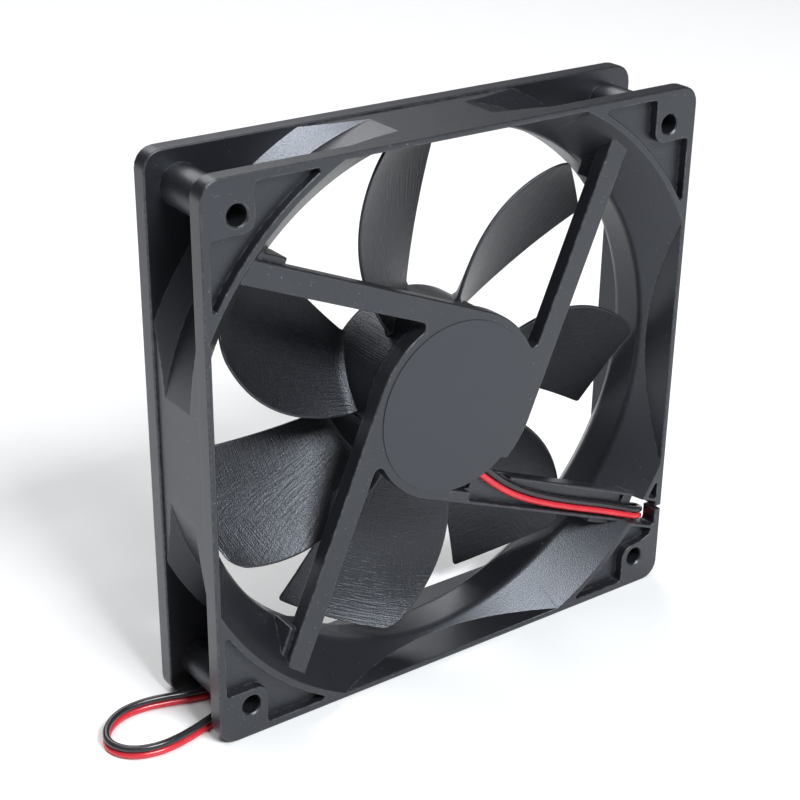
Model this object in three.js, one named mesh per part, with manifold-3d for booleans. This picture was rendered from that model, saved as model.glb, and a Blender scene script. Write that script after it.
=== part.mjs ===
// A 120 mm axial case fan: frame, hub electronics, sleeve bearing, outer-rotor motor, seven-blade impeller
// and a two-wire lead with its connector. Millimetres, +Z up. The fan stands on its bottom edge, and the
// origin is the middle of that edge on the floor. Air comes in from +Y and leaves at -Y, on the side with
// the struts and the label.
import * as THREE from "three";
import { mergeVertices } from "three/addons/utils/BufferGeometryUtils.js";
import Module from "manifold-3d";

const wasm = await Module();
wasm.setup();

// ---- Driving dimensions ----

const FRAME_SIZE = 120;
const FRAME_DEPTH = 25;
const FLANGE_THICKNESS = 4;
const FLANGE_CORNER = 4;
const SIDE_WALL = 2.4; // from the flange's edge in to the throat
const DUCT_WALL = 2.9;
const SIDE_RECESS = 0.6; // the duct's flat sides below the flanges' edges
const MOUTH_BORDER = 1.3; // what the sides leave of the flanges where the mouths reach them
const EXHAUST_FLARE = { reach: 8.2, depth: 8.5 };
const INTAKE_FLARE = { reach: 7.4, depth: 7.2 };
const RIM_WALL = 1.7; // thin lip between a mouth and the corner pockets
const POCKET_DEPTH = 2;
const POCKET_BORDER = 1.8;
const LAND_SIZE = 11.3; // raised corner that the screw sits on
const LAND_ROUND = 2.5;
const SCREW_INSET = 7.5;
const SCREW_HOLE_RADIUS = 2.15;
const POST_RADIUS = 4.25;

const HUB_RADIUS = 21;
const HUB_RECESS = 1.9; // hub and struts below the exhaust face
const BASE_PLATE = 1.8;
const BASE_SKIRT = 2.2;
const SKIRT_WALL = 1.2;
const STRUT_ANGLE = 22.5;
const STRUT_WIDTH = 5.15;
const STRUT_DEPTH = 3.5;
const GUSSET = { width: 4, depth: 7.2, length: 8 };
const CHANNEL_WIDTH = 7.5;
const CHANNEL_WALL = 0.8;
const CHANNEL_DEPTH = 2.2;
const CHANNEL_START = 22; // where the channel's inner wall begins, along the strut
const WINDOW_START = 5; // the window in the base plate, along the strut
const WINDOW_SILL = 9;
const WINDOW_REACH = 4; // how far the window runs in past the channel's inner wall
const SLIT = { drop: 0.4, width: 1.8 }; // through the frame's edge, below the channel's inner wall
const KEYHOLE = { past: 0.5, length: 10.5 }; // the lead's hole through the flange, beyond the duct
const LABEL = { border: 1.85, thickness: 0.15 };

const LEAD_DIAMETER = 1.5;
const LEAD_CLEARANCE = 0.15;
const LEAD_PITCH = 1.6;

const TIP_GAP = 1.2;
const BLADE_COUNT = 7;
const BLADE = { thickness: 1.7, edge: 0.7, exhaust: 10, intake: 2, camber: 0.45, taper: 0.35 };
const ROTOR_STEP = 0.7; // the rotor's side inside the hub's
const ROTOR_WALL = 1.1;
const ROTOR_PLATE = 1.6;
const ROTOR_RECESS = 0.9; // rotor's cap below the intake face
const CAP_CHAMFER = 1.2;
const RIM_GAP = 0.7;
const YOKE_WALL = 0.8;
const MAGNET_WALL = 2.4;
const MAGNET_SEAT = 1.5; // from the yoke's floor up to the magnet
const AIR_GAP = 0.6;
const FIT = 0.1; // radial room between pieces pressed or glued together
const SHAFT_RADIUS = 1.55;
const BEARING_RADIUS = 2.9;
const TUBE_WALL = 1;
const BOSS_WALL = 1.4;
const BUSH_RADIUS = 3.6;
const BUSH_LENGTH = 2.1;
const OIL_RING_ROOM = 0.9;
const THRUST_PAD = 0.6;
const CLIP = { groove: 0.4, thickness: 0.35, fromEnd: 0.35, washer: 0.2, slit: 0.8, border: 0.5 };

const STATOR = { arms: 4, armWidth: 4, stack: 7, ring: 2.1, shoe: 2.6, shoeSpan: 66 };
const INSULATOR = 0.7;
const COIL = { turns: 1.9, end: 0.76, room: 0.25 };
const BOARD = { border: 2.5, thickness: 1, gap: 1.3 };
const HALL_SENSOR = { edge: 2.7, angle: 90, width: 1.6, length: 4, height: 0.8, side: -1 };
const DRIVER_CHIP = { edge: 5.3, angle: 138, width: 4, length: 5, height: 1, side: 1 };
const CAPACITOR = { edge: 5.3, angle: 222, width: 1.3, length: 2, height: 1, side: 1 };
const PIN = { count: 3, at: 9.4, radius: 0.35, seat: 1.2 };

const CONNECTOR = { length: 11.5, width: 5.2, height: 5.08, pitch: 2.54, wall: 0.7 };
const CONNECTOR_AT = { x: -42, y: -2.8, lift: 0.05 };
const LATCH_WINDOW = { start: 3, length: 3, height: 1.2 };
const TERMINAL_BARREL = { length: 4, width: 1.4, height: 1.2 };
const TERMINAL_SOCKET = { width: 2, height: 1.4 };
const TERMINAL_MOUTH = { width: 0.9, height: 0.7 };

const ROUND_LARGE = 72;
const ROUND_HUB = 56;
const ROUND_SMALL = 20;
const PAST = 1; // how far a cut runs past the face it opens

// ---- Places worked out from them; the fan's own axes are x right, y up, z out of the exhaust side ----

const half = FRAME_SIZE / 2;
const exhaustFace = FRAME_DEPTH / 2;
const intakeFace = -FRAME_DEPTH / 2;
const screwAt = half - SCREW_INSET;
const throatRadius = half - SIDE_WALL;
const ductRadius = throatRadius + DUCT_WALL;
const hubFront = exhaustFace - HUB_RECESS;
const plateBack = hubFront - BASE_PLATE;
const skirtEnd = plateBack - BASE_SKIRT;
const boardTop = plateBack - BOARD.gap;
const boardBottom = boardTop - BOARD.thickness;
const rotorRim = skirtEnd - RIM_GAP;
const rotorRadius = HUB_RADIUS - ROTOR_STEP;
const boardRadius = HUB_RADIUS - SKIRT_WALL - BOARD.border;
const rotorCap = intakeFace + ROTOR_RECESS;
const capInside = rotorCap + ROTOR_PLATE;
const yokeOuter = rotorRadius - ROTOR_WALL - FIT;
const yokeTop = rotorRim - 3 * FIT;
const yokeInside = capInside + FIT + YOKE_WALL;
const magnetOuter = yokeOuter - YOKE_WALL - FIT;
const magnetInner = magnetOuter - MAGNET_WALL;
const magnetTop = yokeTop - 3 * FIT;
const magnetBottom = yokeInside + MAGNET_SEAT;
const statorOuter = magnetInner - AIR_GAP;
const statorMiddle = (magnetTop + magnetBottom) / 2;
const tubeInner = BEARING_RADIUS + FIT;
const tubeOuter = tubeInner + TUBE_WALL;
const bushEnd = capInside + FIT + BUSH_LENGTH;
const tubeEnd = bushEnd + OIL_RING_ROOM;
const tubeTop = plateBack - 2 * FIT;
const tipRadius = throatRadius - TIP_GAP;
const channelInner = HUB_RADIUS - CHANNEL_WIDTH;
const channelFloor = hubFront - CHANNEL_DEPTH;

// ---- Solids ----

// A closed three.js geometry as a solid that can be cut and joined.
function solid(geometry) {
  const bare = geometry.clone();
  bare.deleteAttribute("normal");
  bare.deleteAttribute("uv");
  const merged = mergeVertices(bare, 1e-4);
  const vertProperties = new Float32Array(merged.attributes.position.array);
  const triVerts = new Uint32Array(merged.index.array);
  return new wasm.Manifold(new wasm.Mesh({ numProp: 3, vertProperties, triVerts }));
}

function geometryOf(made) {
  const mesh = made.getMesh();
  const geometry = new THREE.BufferGeometry();
  geometry.setAttribute("position", new THREE.BufferAttribute(mesh.vertProperties, 3));
  geometry.setIndex(new THREE.BufferAttribute(mesh.triVerts, 1));
  geometry.computeVertexNormals();
  return geometry;
}

function joined(solids) {
  return solids.reduce((whole, piece) => whole.add(piece));
}

function prism(shape, bottom, top, curveSegments = 6) {
  const settings = { depth: top - bottom, bevelEnabled: false, curveSegments };
  const geometry = new THREE.ExtrudeGeometry(shape, settings);
  return solid(geometry.translate(0, 0, bottom));
}

function box(x, y, z) {
  const geometry = new THREE.BoxGeometry(x[1] - x[0], y[1] - y[0], z[1] - z[0]);
  return solid(geometry.translate((x[0] + x[1]) / 2, (y[0] + y[1]) / 2, (z[0] + z[1]) / 2));
}

function cylinder(radius, bottom, top, x = 0, y = 0, sides = ROUND_SMALL) {
  const geometry = new THREE.CylinderGeometry(radius, radius, top - bottom, sides).rotateX(Math.PI / 2);
  return solid(geometry.translate(x, y, (top + bottom) / 2));
}

// A ring or disc turned about the fan's axis from a closed profile of [radius, height] points.
function turned(profile, sides) {
  const points = profile.map(([radius, height]) => new THREE.Vector2(radius, height));
  if (profile[0][0] > 0) points.push(points[0].clone());
  return solid(new THREE.LatheGeometry(points, sides).rotateX(Math.PI / 2));
}

function ring(inner, outer, bottom, top, sides = ROUND_SMALL) {
  return turned([[inner, bottom], [outer, bottom], [outer, top], [inner, top]], sides);
}

function roundedSquare(halfSide, radius) {
  const shape = new THREE.Shape();
  const inner = halfSide - radius;
  shape.absarc(inner, inner, radius, 0, Math.PI / 2);
  shape.absarc(-inner, inner, radius, Math.PI / 2, Math.PI);
  shape.absarc(-inner, -inner, radius, Math.PI, 1.5 * Math.PI);
  shape.absarc(inner, -inner, radius, 1.5 * Math.PI, 2 * Math.PI);
  return shape;
}

function squarePrism(halfSide, bottom, top) {
  return box([-halfSide, halfSide], [-halfSide, halfSide], [bottom, top]);
}

function turn(made, degrees) {
  return made.rotate([0, 0, degrees]);
}

function fourCorners(reach) {
  return [[reach, reach], [-reach, reach], [-reach, -reach], [reach, -reach]];
}

// ---- Frame moulding ----

// Both profiles run up the outside from the intake end and come back along the axis.
function boreProfile() {
  const intakeMouth = throatRadius + INTAKE_FLARE.reach * (1 + PAST / INTAKE_FLARE.depth);
  const exhaustMouth = throatRadius + EXHAUST_FLARE.reach * (1 + PAST / EXHAUST_FLARE.depth);
  return [
    [0, intakeFace - PAST],
    [intakeMouth, intakeFace - PAST],
    [throatRadius, intakeFace + INTAKE_FLARE.depth],
    [throatRadius, exhaustFace - EXHAUST_FLARE.depth],
    [exhaustMouth, exhaustFace + PAST],
    [0, exhaustFace + PAST],
  ];
}

// The duct's outside keeps its wall square to the flares, so it reaches further out beside the flanges.
function ductProfile() {
  const thicker = (flare) => DUCT_WALL * Math.hypot(flare.reach, flare.depth) / flare.depth;
  const radiusBy = (flare) => (
    throatRadius + flare.reach * (1 - FLANGE_THICKNESS / flare.depth) + thicker(flare)
  );
  const bend = (flare) => flare.depth * (1 - (thicker(flare) - DUCT_WALL) / flare.reach) + PAST;
  return [
    [0, intakeFace + FLANGE_THICKNESS / 2],
    [radiusBy(INTAKE_FLARE), intakeFace + FLANGE_THICKNESS / 2],
    [radiusBy(INTAKE_FLARE), intakeFace + FLANGE_THICKNESS],
    [ductRadius, intakeFace + bend(INTAKE_FLARE)],
    [ductRadius, exhaustFace - bend(EXHAUST_FLARE)],
    [radiusBy(EXHAUST_FLARE), exhaustFace - FLANGE_THICKNESS],
    [radiusBy(EXHAUST_FLARE), exhaustFace - FLANGE_THICKNESS / 2],
    [0, exhaustFace - FLANGE_THICKNESS / 2],
  ];
}

function frameEnvelope() {
  const outline = roundedSquare(half, FLANGE_CORNER);
  const duct = turned(ductProfile(), ROUND_LARGE);
  const posts = fourCorners(screwAt).map(([x, y]) => (
    cylinder(POST_RADIUS, intakeFace + PAST, exhaustFace - PAST, x, y)
  ));
  return joined([
    prism(outline, intakeFace, intakeFace + FLANGE_THICKNESS),
    prism(outline, exhaustFace - FLANGE_THICKNESS, exhaustFace),
    duct.intersect(squarePrism(half - SIDE_RECESS, intakeFace, exhaustFace)),
    ...posts,
  ]);
}

// A block beside a strut's line: along it from the hub, and across it from the fan's middle.
function strutBlock(quarter, along, across, height) {
  return turn(box([-along[1], -along[0]], across, height), -STRUT_ANGLE - 90 * quarter);
}

const CHANNEL_QUARTER = 2; // the struts are counted clockwise, seen from the exhaust side

function strutWidth(quarter) {
  return quarter === CHANNEL_QUARTER ? CHANNEL_WIDTH : STRUT_WIDTH;
}

function strut(quarter) {
  const inner = HUB_RADIUS - strutWidth(quarter);
  const middle = HUB_RADIUS - STRUT_WIDTH / 2;
  const gusset = [middle - GUSSET.width / 2, middle + GUSSET.width / 2];
  const rootAt = Math.sqrt(throatRadius ** 2 - middle ** 2);
  const far = half + 2 * PAST;
  const bar = strutBlock(quarter, [0, far], [inner, HUB_RADIUS], [hubFront - STRUT_DEPTH, hubFront]);
  const rootSpan = [rootAt - GUSSET.length / 2, far];
  const root = strutBlock(quarter, rootSpan, gusset, [hubFront - GUSSET.depth, hubFront]);
  return bar.add(root);
}

function hubBase() {
  const boss = tubeOuter + FIT;
  return joined([
    cylinder(HUB_RADIUS, plateBack, hubFront, 0, 0, ROUND_HUB),
    ring(HUB_RADIUS - SKIRT_WALL, HUB_RADIUS, skirtEnd, plateBack + FIT, ROUND_HUB),
    ring(boss, boss + BOSS_WALL, boardTop - BOARD.thickness, plateBack + FIT),
  ]);
}

function hubLabel() {
  const bottom = hubFront + FIT / 2;
  return cylinder(HUB_RADIUS - LABEL.border, bottom, bottom + LABEL.thickness, 0, 0, ROUND_HUB);
}

function cornerPockets(face, mouthRadius, side) {
  const floor = face - side * POCKET_DEPTH;
  const span = [Math.min(floor, face + side * PAST), Math.max(floor, face + side * PAST)];
  const pockets = squarePrism(half - POCKET_BORDER, ...span);
  const lip = cylinder(mouthRadius + RIM_WALL, span[0] - PAST, span[1] + PAST, 0, 0, ROUND_LARGE);
  const landReach = roundedSquare(LAND_SIZE, LAND_ROUND);
  const land = prism(landReach, span[0] - PAST, span[1] + PAST);
  const lands = fourCorners(half).map(([x, y]) => land.translate([x, y, 0]));
  return pockets.subtract(lip).subtract(joined(lands));
}

function channelSpan(along, across, height) {
  return strutBlock(CHANNEL_QUARTER, along, across, height);
}

// The height at which a line along the channel, at a distance across it, reaches a distance out to the right.
function channelHeight(out, across) {
  const angle = THREE.MathUtils.degToRad(STRUT_ANGLE);
  return -Math.tan(angle) * out - across / Math.cos(angle);
}

// The wire channel: open to the front, with a window under the label, a hole through the flange at its far
// end and a slit from that hole to the frame's edge.
function channelCuts() {
  const walls = [channelInner + CHANNEL_WALL, HUB_RADIUS - CHANNEL_WALL];
  const window = [WINDOW_START, CHANNEL_START - WINDOW_SILL];
  const windowWidth = [channelInner - WINDOW_REACH, walls[1] - 2 * PAST];
  const end = [half + KEYHOLE.past, half + KEYHOLE.past + KEYHOLE.length];
  const through = [exhaustFace - FLANGE_THICKNESS - PAST, exhaustFace + PAST];
  const hole = channelSpan(end, walls, through);
  const slitTop = channelHeight(half - PAST, walls[0]) - SLIT.drop;
  const inside = squarePrism(half - POCKET_BORDER, intakeFace, exhaustFace + 2 * PAST);
  const open = [channelFloor, exhaustFace + PAST];
  return joined([
    channelSpan([CHANNEL_START - PAST, end[0] + PAST], walls, open),
    channelSpan([window[1] - PAST, CHANNEL_START], [channelInner - PAST, walls[1]], open),
    channelSpan([window[0], CHANNEL_START - CHANNEL_DEPTH - PAST], windowWidth, open),
    channelSpan(window, windowWidth, [boardTop - FIT, exhaustFace + PAST]),
    hole.intersect(inside),
    box([half - POCKET_BORDER - PAST, half + PAST], [slitTop - SLIT.width, slitTop], through),
  ]);
}

// The lead passes below the duct's bottom flat in a shallow groove.
function leadGroove() {
  const width = LEAD_PITCH + LEAD_DIAMETER + 4 * LEAD_CLEARANCE;
  const middle = -(LEAD_GROOVE_Y + LEAD_PITCH / 2);
  const top = -half + LEAD_DIAMETER + LEAD_CLEARANCE;
  const reach = Math.sqrt(ductRadius ** 2 - top ** 2) + PAST;
  return box([-reach, reach], [-half - PAST, top], [middle - width / 2, middle + width / 2]);
}

function frameMoulding() {
  const envelope = frameEnvelope();
  const quarters = [0, 1, 2, 3];
  const throughout = [intakeFace, exhaustFace + 2 * PAST];
  const pocketBand = channelSpan([0, FRAME_SIZE], [channelInner, HUB_RADIUS], throughout);
  const bore = turned(boreProfile(), ROUND_LARGE).intersect(
    squarePrism(half - MOUTH_BORDER, intakeFace - 2 * PAST, exhaustFace + 2 * PAST),
  );
  const exhaustPockets = cornerPockets(exhaustFace, throatRadius + EXHAUST_FLARE.reach, 1);
  const intakePockets = cornerPockets(intakeFace, throatRadius + INTAKE_FLARE.reach, -1);
  const hubRoom = cylinder(HUB_RADIUS - SKIRT_WALL, intakeFace, plateBack, 0, 0, ROUND_HUB);
  const struts = joined(quarters.map(strut)).intersect(joined([envelope, bore])).subtract(hubRoom);
  const holes = fourCorners(screwAt).map(([x, y]) => (
    cylinder(SCREW_HOLE_RADIUS, intakeFace - PAST, exhaustFace + PAST, x, y)
  ));
  return envelope
    .subtract(bore)
    .subtract(exhaustPockets.subtract(pocketBand))
    .subtract(intakePockets)
    .add(struts)
    .add(hubBase())
    .subtract(cylinder(tubeOuter + FIT, boardBottom - PAST, plateBack))
    .subtract(channelCuts())
    .subtract(leadGroove())
    .subtract(joined(holes));
}

// ---- Bearing ----

function bearingTube() {
  return ring(tubeInner, tubeOuter, tubeEnd, tubeTop);
}

const thrustPadBottom = tubeTop - THRUST_PAD;
const shaftEnd = thrustPadBottom - FIT;
const clipSpan = [shaftEnd - CLIP.fromEnd - CLIP.thickness, shaftEnd - CLIP.fromEnd];
const washerSpan = [clipSpan[0] - FIT - CLIP.washer, clipSpan[0] - FIT];
const sleeveTop = washerSpan[0] - FIT;

function sleeveBearing() {
  return ring(SHAFT_RADIUS + FIT, BEARING_RADIUS, tubeEnd + 2 * FIT, sleeveTop);
}

function thrustPad() {
  return cylinder(BEARING_RADIUS, thrustPadBottom, tubeTop - FIT);
}

// The shaft has a turned groove near its end, which the split clip snaps into.
function shaftProfile() {
  const groove = SHAFT_RADIUS - CLIP.groove;
  const chamfer = CLIP.fromEnd / 2;
  return [
    [0, capInside + FIT],
    [SHAFT_RADIUS, capInside + FIT],
    [SHAFT_RADIUS, clipSpan[0] - FIT],
    [groove, clipSpan[0] - FIT],
    [groove, clipSpan[1] + FIT],
    [SHAFT_RADIUS, clipSpan[1] + FIT],
    [SHAFT_RADIUS, shaftEnd - chamfer],
    [SHAFT_RADIUS - chamfer, shaftEnd],
    [0, shaftEnd],
  ];
}

function retainingClip() {
  const groove = SHAFT_RADIUS - CLIP.groove + FIT;
  const through = [clipSpan[0] - PAST, clipSpan[1] + PAST];
  const gap = box([0, BEARING_RADIUS], [-CLIP.slit / 2, CLIP.slit / 2], through);
  return ring(groove, BEARING_RADIUS - CLIP.border, ...clipSpan).subtract(gap);
}

function clipWasher() {
  return ring(SHAFT_RADIUS + FIT, BEARING_RADIUS - CLIP.border + FIT, ...washerSpan);
}

// ---- Rotor ----

// Blade angles in degrees at a share q of the way from the rotor to the tip, seen from the exhaust side.
const leadingAngle = (q) => 87 - 6 * q;
const trailingAngle = (q) => 126.5 - 2.5 * q - 19.5 * q * q;

// A flat box bent into a blade: x runs out to the tip, y through the thickness and z along the chord.
function blade(index) {
  const geometry = new THREE.BoxGeometry(1, 1, 1, 7, 1, 5);
  const place = geometry.attributes.position;
  const rootRadius = rotorRadius - ROTOR_WALL / 2;
  const leadingZ = intakeFace + BLADE.intake;
  const trailingZ = exhaustFace - BLADE.exhaust;
  for (let i = 0; i < place.count; i += 1) {
    const out = place.getX(i) + 0.5;
    const chord = place.getZ(i) + 0.5;
    const radius = rootRadius + (tipRadius - rootRadius) * out;
    const rise = (1 - BLADE.camber) * chord + BLADE.camber * chord * chord;
    const bulge = 4 * chord * (1 - chord);
    const thickness = BLADE.edge + (BLADE.thickness - BLADE.edge) * bulge * (1 - BLADE.taper * out);
    const degrees = leadingAngle(out) + (trailingAngle(out) - leadingAngle(out)) * chord;
    const sweep = THREE.MathUtils.degToRad(trailingAngle(out) - leadingAngle(out)) * radius;
    const climb = (trailingZ - leadingZ) * (1 - BLADE.camber + 2 * BLADE.camber * chord);
    const length = Math.hypot(sweep, climb);
    const offset = place.getY(i) * thickness;
    const angle = THREE.MathUtils.degToRad(degrees) + (offset * climb) / length / radius;
    const height = leadingZ + (trailingZ - leadingZ) * rise - (offset * sweep) / length;
    place.setXYZ(i, radius * Math.cos(angle), radius * Math.sin(angle), height);
  }
  return turn(solid(geometry), (index * 360) / BLADE_COUNT);
}

function rotorShell() {
  const bossRadius = BUSH_RADIUS + FIT;
  return joined([
    turned([
      [0, rotorCap],
      [rotorRadius - CAP_CHAMFER, rotorCap],
      [rotorRadius, rotorCap + CAP_CHAMFER],
      [rotorRadius, rotorRim],
      [rotorRadius - ROTOR_WALL, rotorRim],
      [rotorRadius - ROTOR_WALL, capInside],
      [0, capInside],
    ], ROUND_HUB),
    ring(bossRadius, bossRadius + BOSS_WALL, capInside - FIT, bushEnd - FIT),
  ]);
}

function impeller() {
  const blades = Array.from({ length: BLADE_COUNT }, (_, index) => blade(index));
  return joined([rotorShell(), ...blades]);
}

function yokeCup() {
  const centreHole = BUSH_RADIUS + FIT + BOSS_WALL + FIT;
  return turned([
    [centreHole, capInside + FIT],
    [yokeOuter, capInside + FIT],
    [yokeOuter, yokeTop],
    [yokeOuter - YOKE_WALL, yokeTop],
    [yokeOuter - YOKE_WALL, yokeInside],
    [centreHole, yokeInside],
  ], ROUND_HUB);
}

function ringMagnet() {
  return ring(magnetInner, magnetOuter, magnetBottom, magnetTop, ROUND_HUB);
}

function shaftBush() {
  return ring(SHAFT_RADIUS + FIT, BUSH_RADIUS, capInside + FIT, bushEnd);
}

function oilRing() {
  return ring(SHAFT_RADIUS + FIT, BEARING_RADIUS, bushEnd + FIT, tubeEnd - 3 * FIT);
}

// ---- Stator and board ----

const statorRingInner = tubeOuter + FIT;
const statorRingOuter = statorRingInner + STATOR.ring;
const stackBottom = statorMiddle - STATOR.stack / 2;
const stackTop = statorMiddle + STATOR.stack / 2;

function armAngle(index) {
  return 45 + (index * 360) / STATOR.arms;
}

const pinAngles = Array.from({ length: PIN.count }, (_, index) => armAngle(index) + 180 / STATOR.arms);

// The same cross section serves the steel stack and the plastic insulators on both its ends.
function statorSection(bottom, top) {
  const { armWidth, shoe } = STATOR;
  const shoeInner = statorOuter - shoe;
  const reach = statorOuter + PAST;
  const wedge = new THREE.Shape();
  const spread = THREE.MathUtils.degToRad(STATOR.shoeSpan / 2);
  wedge.moveTo(0, 0);
  wedge.lineTo(reach, -reach * Math.tan(spread));
  wedge.lineTo(reach, reach * Math.tan(spread));
  const sector = prism(wedge, bottom - PAST, top + PAST);
  const shoes = ring(shoeInner, statorOuter, bottom, top, ROUND_HUB).intersect(sector);
  const along = [statorRingInner + PAST, shoeInner + PAST / 2];
  const bar = box(along, [-armWidth / 2, armWidth / 2], [bottom, top]);
  const arm = bar.add(shoes);
  const arms = Array.from({ length: STATOR.arms }, (_, index) => turn(arm, armAngle(index)));
  const core = ring(statorRingInner, statorRingOuter, bottom, top);
  return joined([core, ...arms]).subtract(cylinder(statorRingInner, bottom - PAST, top + PAST));
}

// The exhaust side's insulator also carries a seat for each winding pin, between the arms.
function insulator(side) {
  const near = side > 0 ? stackTop + FIT : stackBottom - FIT - INSULATOR;
  const plate = statorSection(near, near + INSULATOR);
  if (side < 0) return plate;
  const along = [statorRingInner + PAST, PIN.at + PIN.seat];
  const seat = box(along, [-PIN.seat, PIN.seat], [near, near + INSULATOR]);
  return joined([plate, ...pinAngles.map((angle) => turn(seat, angle))]);
}

const coilInside = {
  width: STATOR.armWidth / 2 + COIL.room,
  height: STATOR.stack / 2 + INSULATOR + FIT + COIL.room,
};

function coil(index) {
  const grow = COIL.turns;
  const from = statorRingOuter + 4 * FIT;
  const to = Math.sqrt((statorOuter - STATOR.shoe - 3 * FIT) ** 2 - (coilInside.width + grow) ** 2);
  const around = (width, height, x) => (
    box(x, [-width, width], [statorMiddle - height, statorMiddle + height])
  );
  const body = around(coilInside.width + grow, coilInside.height + COIL.end, [from + grow / 2, to]);
  const waist = around(coilInside.width + grow / 2, coilInside.height + COIL.end * 0.75, [from, to]);
  const room = around(coilInside.width, coilInside.height, [from - PAST, to + PAST]);
  return turn(body.add(waist).subtract(room), armAngle(index));
}

function circuitBoard() {
  const centre = tubeOuter + FIT + BOSS_WALL + FIT;
  return ring(centre, boardRadius, boardBottom, boardTop, ROUND_HUB);
}

function windingPin(index) {
  const bottom = stackTop + FIT + INSULATOR + FIT;
  return turn(cylinder(PIN.radius, bottom, boardBottom - FIT, PIN.at, 0, 8), pinAngles[index]);
}

// A chip on the board, its width along the radius; side is 1 on the exhaust face and -1 on the rotor's.
function chip({ edge, angle, width, length, height, side }) {
  const bottom = side > 0 ? boardTop + FIT : boardBottom - FIT - height;
  const middle = boardRadius - edge;
  const along = [middle - width / 2, middle + width / 2];
  return turn(box(along, [-length / 2, length / 2], [bottom, bottom + height]), angle);
}

// ---- Lead and connector, in the row's own axes: x right, y into the fan, z up ----

const LEAD_GROOVE_Y = 0.6;

// From the board, through the window and along the channel, back through the flange, down behind it to the
// floor, below the duct, out beside the lower left corner in a loop, and back in to the connector.
const RED_ROUTE = [
  [2.2, -8.6, 45.8], [4.4, -8.8, 44.4], [6.7, -9.2, 42.3], [9.8, -9.3, 39.3], [13.8, -9.3, 35.9],
  [18.9, -9.3, 32.4], [25.9, -9.3, 28.7], [35.1, -9.3, 24.6], [44.3, -9.5, 20.9], [50.5, -10.0, 18.3],
  [53.4, -10.5, 17.2], [55.9, -9.7, 16.2], [57.2, -7.6, 15.5], [56.8, -5.3, 15.0], [54.8, -3.7, 14.4],
  [52.0, -3.3, 13.4], [49.1, -2.8, 11.8], [46.9, -1.7, 9.3],
  [45.4, -0.5, 6.9], [44.2, 0.2, 4.2], [41.8, 0.5, 2.0], [38.2, 0.6, 1.1], [33.0, 0.6, 0.85],
  [16.0, 0.6, 0.8], [-16.0, 0.6, 0.8], [-26.0, 1.1, 0.8], [-33.0, 1.7, 0.8], [-40.0, 2.3, 0.8],
  [-47.0, 3.0, 0.8], [-54.0, 4.0, 0.8], [-60.5, 5.9, 0.8], [-66.5, 7.5, 0.8], [-72.5, 7.2, 0.8],
  [-77.3, 4.0, 0.8], [-79.3, -0.6, 0.8], [-77.0, -5.2, 0.8], [-71.5, -7.4, 0.8], [-65.0, -7.0, 0.8],
  [-59.0, -5.4, 0.8], [-53.0, -3.6, 0.8], [-48.0, -2.9, 0.85], [-44.6, -2.8, 1.15], [-42.3, -2.8, 1.32],
];
const BLACK_ROUTE = [
  [2.9, -8.6, 47.4], [5.1, -8.8, 46.0], [7.4, -9.2, 43.9], [10.5, -9.3, 40.9], [14.5, -9.3, 37.4],
  [19.6, -9.3, 33.9], [26.5, -9.3, 30.2], [35.7, -9.3, 26.1], [44.7, -9.5, 22.5], [50.8, -10.0, 19.9],
  [53.6, -10.5, 18.8], [56.0, -9.7, 17.9], [57.3, -7.6, 17.2], [56.9, -5.3, 16.8], [54.8, -3.7, 16.2],
  [51.6, -3.1, 15.2], [48.1, -1.9, 13.3], [45.3, 0.0, 10.6],
  [43.9, 1.4, 7.6], [42.4, 2.1, 4.6], [39.8, 2.2, 2.2], [36.2, 2.2, 1.2], [31.0, 2.2, 0.85],
  [16.0, 2.2, 0.8], [-16.0, 2.2, 0.8], [-26.0, 2.7, 0.85], [-33.0, 3.0, 1.6], [-40.0, 2.9, 2.3],
  [-47.0, 3.0, 2.36], [-54.0, 4.0, 2.36], [-60.5, 5.9, 2.36], [-66.5, 7.5, 2.36], [-72.5, 7.2, 2.36],
  [-77.3, 4.0, 2.36], [-79.3, -0.6, 2.36], [-77.0, -5.2, 2.36], [-71.5, -7.4, 2.36], [-65.0, -7.0, 2.36],
  [-59.0, -5.4, 2.36], [-53.0, -3.6, 2.36], [-48.0, -2.9, 2.45], [-44.6, -2.8, 3.4], [-42.3, -2.8, 3.86],
];

function lead(route) {
  const points = route.map((point) => new THREE.Vector3(...point));
  const curve = new THREE.CatmullRomCurve3(points, false, "centripetal");
  const section = new THREE.Shape();
  const sides = 8;
  for (let side = 0; side < sides; side += 1) {
    const angle = ((side + 0.5) * 2 * Math.PI) / sides;
    const x = (LEAD_DIAMETER / 2) * Math.cos(angle);
    const y = (LEAD_DIAMETER / 2) * Math.sin(angle);
    if (side === 0) section.moveTo(x, y);
    else section.lineTo(x, y);
  }
  return new THREE.ExtrudeGeometry(section, { steps: 80, extrudePath: curve });
}

const connectorEnd = CONNECTOR_AT.x + CONNECTOR.length;
const connectorMiddle = CONNECTOR_AT.lift + CONNECTOR.height / 2;
const cavityHeights = [connectorMiddle - CONNECTOR.pitch / 2, connectorMiddle + CONNECTOR.pitch / 2];

// The housing lies on its side, one cavity above the other, with a latch window to each on its far flank.
function connectorHousing() {
  const { width, height, wall } = CONNECTOR;
  const { x, y, lift } = CONNECTOR_AT;
  const cavity = (width - 2 * wall) / 2;
  const latch = [x + LATCH_WINDOW.start, x + LATCH_WINDOW.start + LATCH_WINDOW.length];
  const across = (CONNECTOR.pitch - wall) / 2;
  const rooms = cavityHeights.map((z) => (
    box([x - PAST, connectorEnd + PAST], [y - cavity, y + cavity], [z - across, z + across])
  ));
  const windows = cavityHeights.map((z) => (
    box(latch, [y, y + width], [z - LATCH_WINDOW.height / 2, z + LATCH_WINDOW.height / 2])
  ));
  const body = box([x, connectorEnd], [y - width / 2, y + width / 2], [lift, lift + height]);
  return body.subtract(joined(rooms)).subtract(joined(windows));
}

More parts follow.
